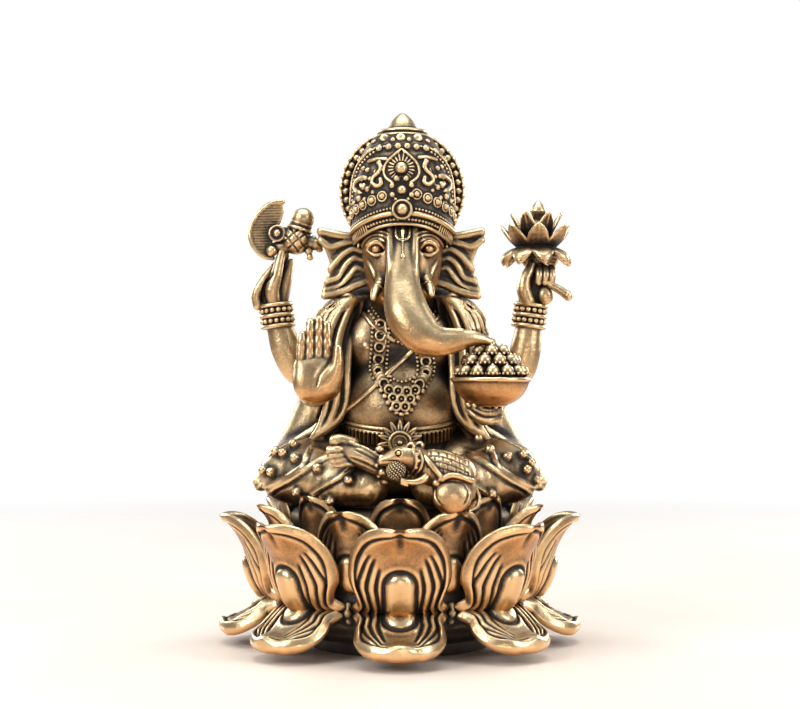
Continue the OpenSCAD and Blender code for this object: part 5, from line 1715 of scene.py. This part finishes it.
def saddle(material):
    clay = Clay([3, -43, 42], [25, -25, 60], 0.2)
    clay.strand([[8.6, -34.2, 51.4, 4.9], [12, -34.0, 50.4, 5.4], [14.8, -33.8, 49.0, 5.6]], 1.0)
    clay.cut(egg([13.9, -37.5, 42.6], [8.6, 8.5, 5.4]), 0.3)
    clay.settle()
    for k, z in enumerate((55.4, 53.9, 52.4, 50.9)):
        clay.ridge([[7.0, z + 0.9], [11, z + 0.5], [15, z - 0.8], [18, z - 2.2]], 0.24, 0.0, 0.12,
                   carve=True)
        for x in np.arange(8.0 + (k % 2) * 1.1, 18, 2.2):
            clay.ridge([[x, z + 0.6 - 0.13 * (x - 8)], [x + 0.1, z - 0.9 - 0.13 * (x - 8)]], 0.22, 0.0,
                       0.12, carve=True)
    clay.ridge([[5.0, 56.0], [7.6, 53.0], [9.8, 50.4], [11.2, 48.6]], 0.75, 0.1, 0.2)
    clay.ridge([[10.6, 48.6], [13.2, 49.6], [16, 49.2], [18.8, 48.0]], 0.8, 0.1, 0.2)
    clay.add(ball(clay.front(9.6, 47.6), 1.2), 0.3)
    return clay_piece("mouse_saddle", clay, material, ("mouse_saddle",))


def mouse_sweet(material):
    c = middle("mouse_sweet")
    clay = Clay(c - 3.6, c + 3.6, 0.14)
    clay.add(ball(c, 2.35))
    count = 150
    for k in range(count):
        h = 1 - 2 * (k + 0.5) / count
        a = math.pi * (1 + math.sqrt(5)) * k
        w = math.sqrt(1 - h * h)
        clay.add(ball(c + 2.42 * np.array([w * math.cos(a), w * math.sin(a), h]), 0.27), 0.05)
    return clay_piece("mouse_sweet", clay, material, ("mouse_sweet",), rounds=0)


# ---- Putting it together ----


def paint_nodes(materials):
    """The CAD solids that stay in view get their materials."""
    for name, material in materials.items():
        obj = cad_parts[name]
        obj.data.materials.clear()
        obj.data.materials.append(material)


def figure_arms(material):
    arm("right_rear_arm", [[-18, 4, 88, 4.6], [-24, 3.6, 80.5, 4.6], [-28.4, 2.4, 77.4, 4.7],
                           [-32.2, 1.4, 83, 4.5], [-34.4, 1, 89.4, 3.7]], material, "right_rear_arm")
    arm("left_rear_arm", [[18, 4, 88, 4.6], [27, 3.6, 79.5, 4.6], [33, 2.4, 76.6, 4.7],
                          [35.6, 1.4, 82, 4.5], [36.8, 1, 89.4, 3.7]], material, "left_rear_arm")
    arm("right_front_arm", [[-18.5, -2, 85, 4.8], [-23.4, -6, 75, 4.8], [-24.0, -12, 71.5, 4.5],
                            [-23.2, -18, 72.5, 4.2]], material, "right_front_arm")
    arm("left_front_arm", [[18.5, -2, 85, 4.8], [25, -6, 73, 4.6], [24.8, -13, 67, 4.1],
                           [23, -19, 65.4, 3.4]], material, "left_front_arm")


def build():
    camera()
    lights()
    sky()
    floor()
    antique = cast_brass("antique_brass")
    aged = cast_brass("aged_brass", polish=-0.16, contrast=2.3)
    # Polished brass takes the full painted warm reflection on faces turned down
    polished = cast_brass("polished_brass", polish=0.06, reflection_strength=1.0, grain=0.8)
    gilt = cast_brass("gilt_brass", 0.25, 0.2, 0.4)
    lotus(polished)
    head(polished, gilt)
    ear(-1, antique)
    ear(1, antique)
    crown(aged, polished)
    halo(aged)
    torso(antique)
    shawl(aged)
    legs(cast_brass("worn_brass", polish=0.09, contrast=1.2))
    foot(antique)
    figure_arms(antique)
    cuff(-1, (-35.2, 1, 92.9), antique)
    cuff(1, (37.1, 1, 92.9), antique)
    right_rear_hand(antique)
    left_rear_hand(antique)
    stem(antique)
    flower(antique)
    axe(antique)
    blessing_hand(polished)
    bowl_hand(antique)
    bowl(polished)
    sweets(antique)
    mouse(polished)
    saddle(polished)
    mouse_sweet(antique)
    # The hub's brass is darkened to near black with no reflection tint: painted shade in the gaps between
    # the petals
    hub(cast_brass("hub_brass_painted_shade", -0.6, 0.0))
    paint_nodes({"base_plate": black_enamel(), "fixing_screw": bright_steel()})


build()
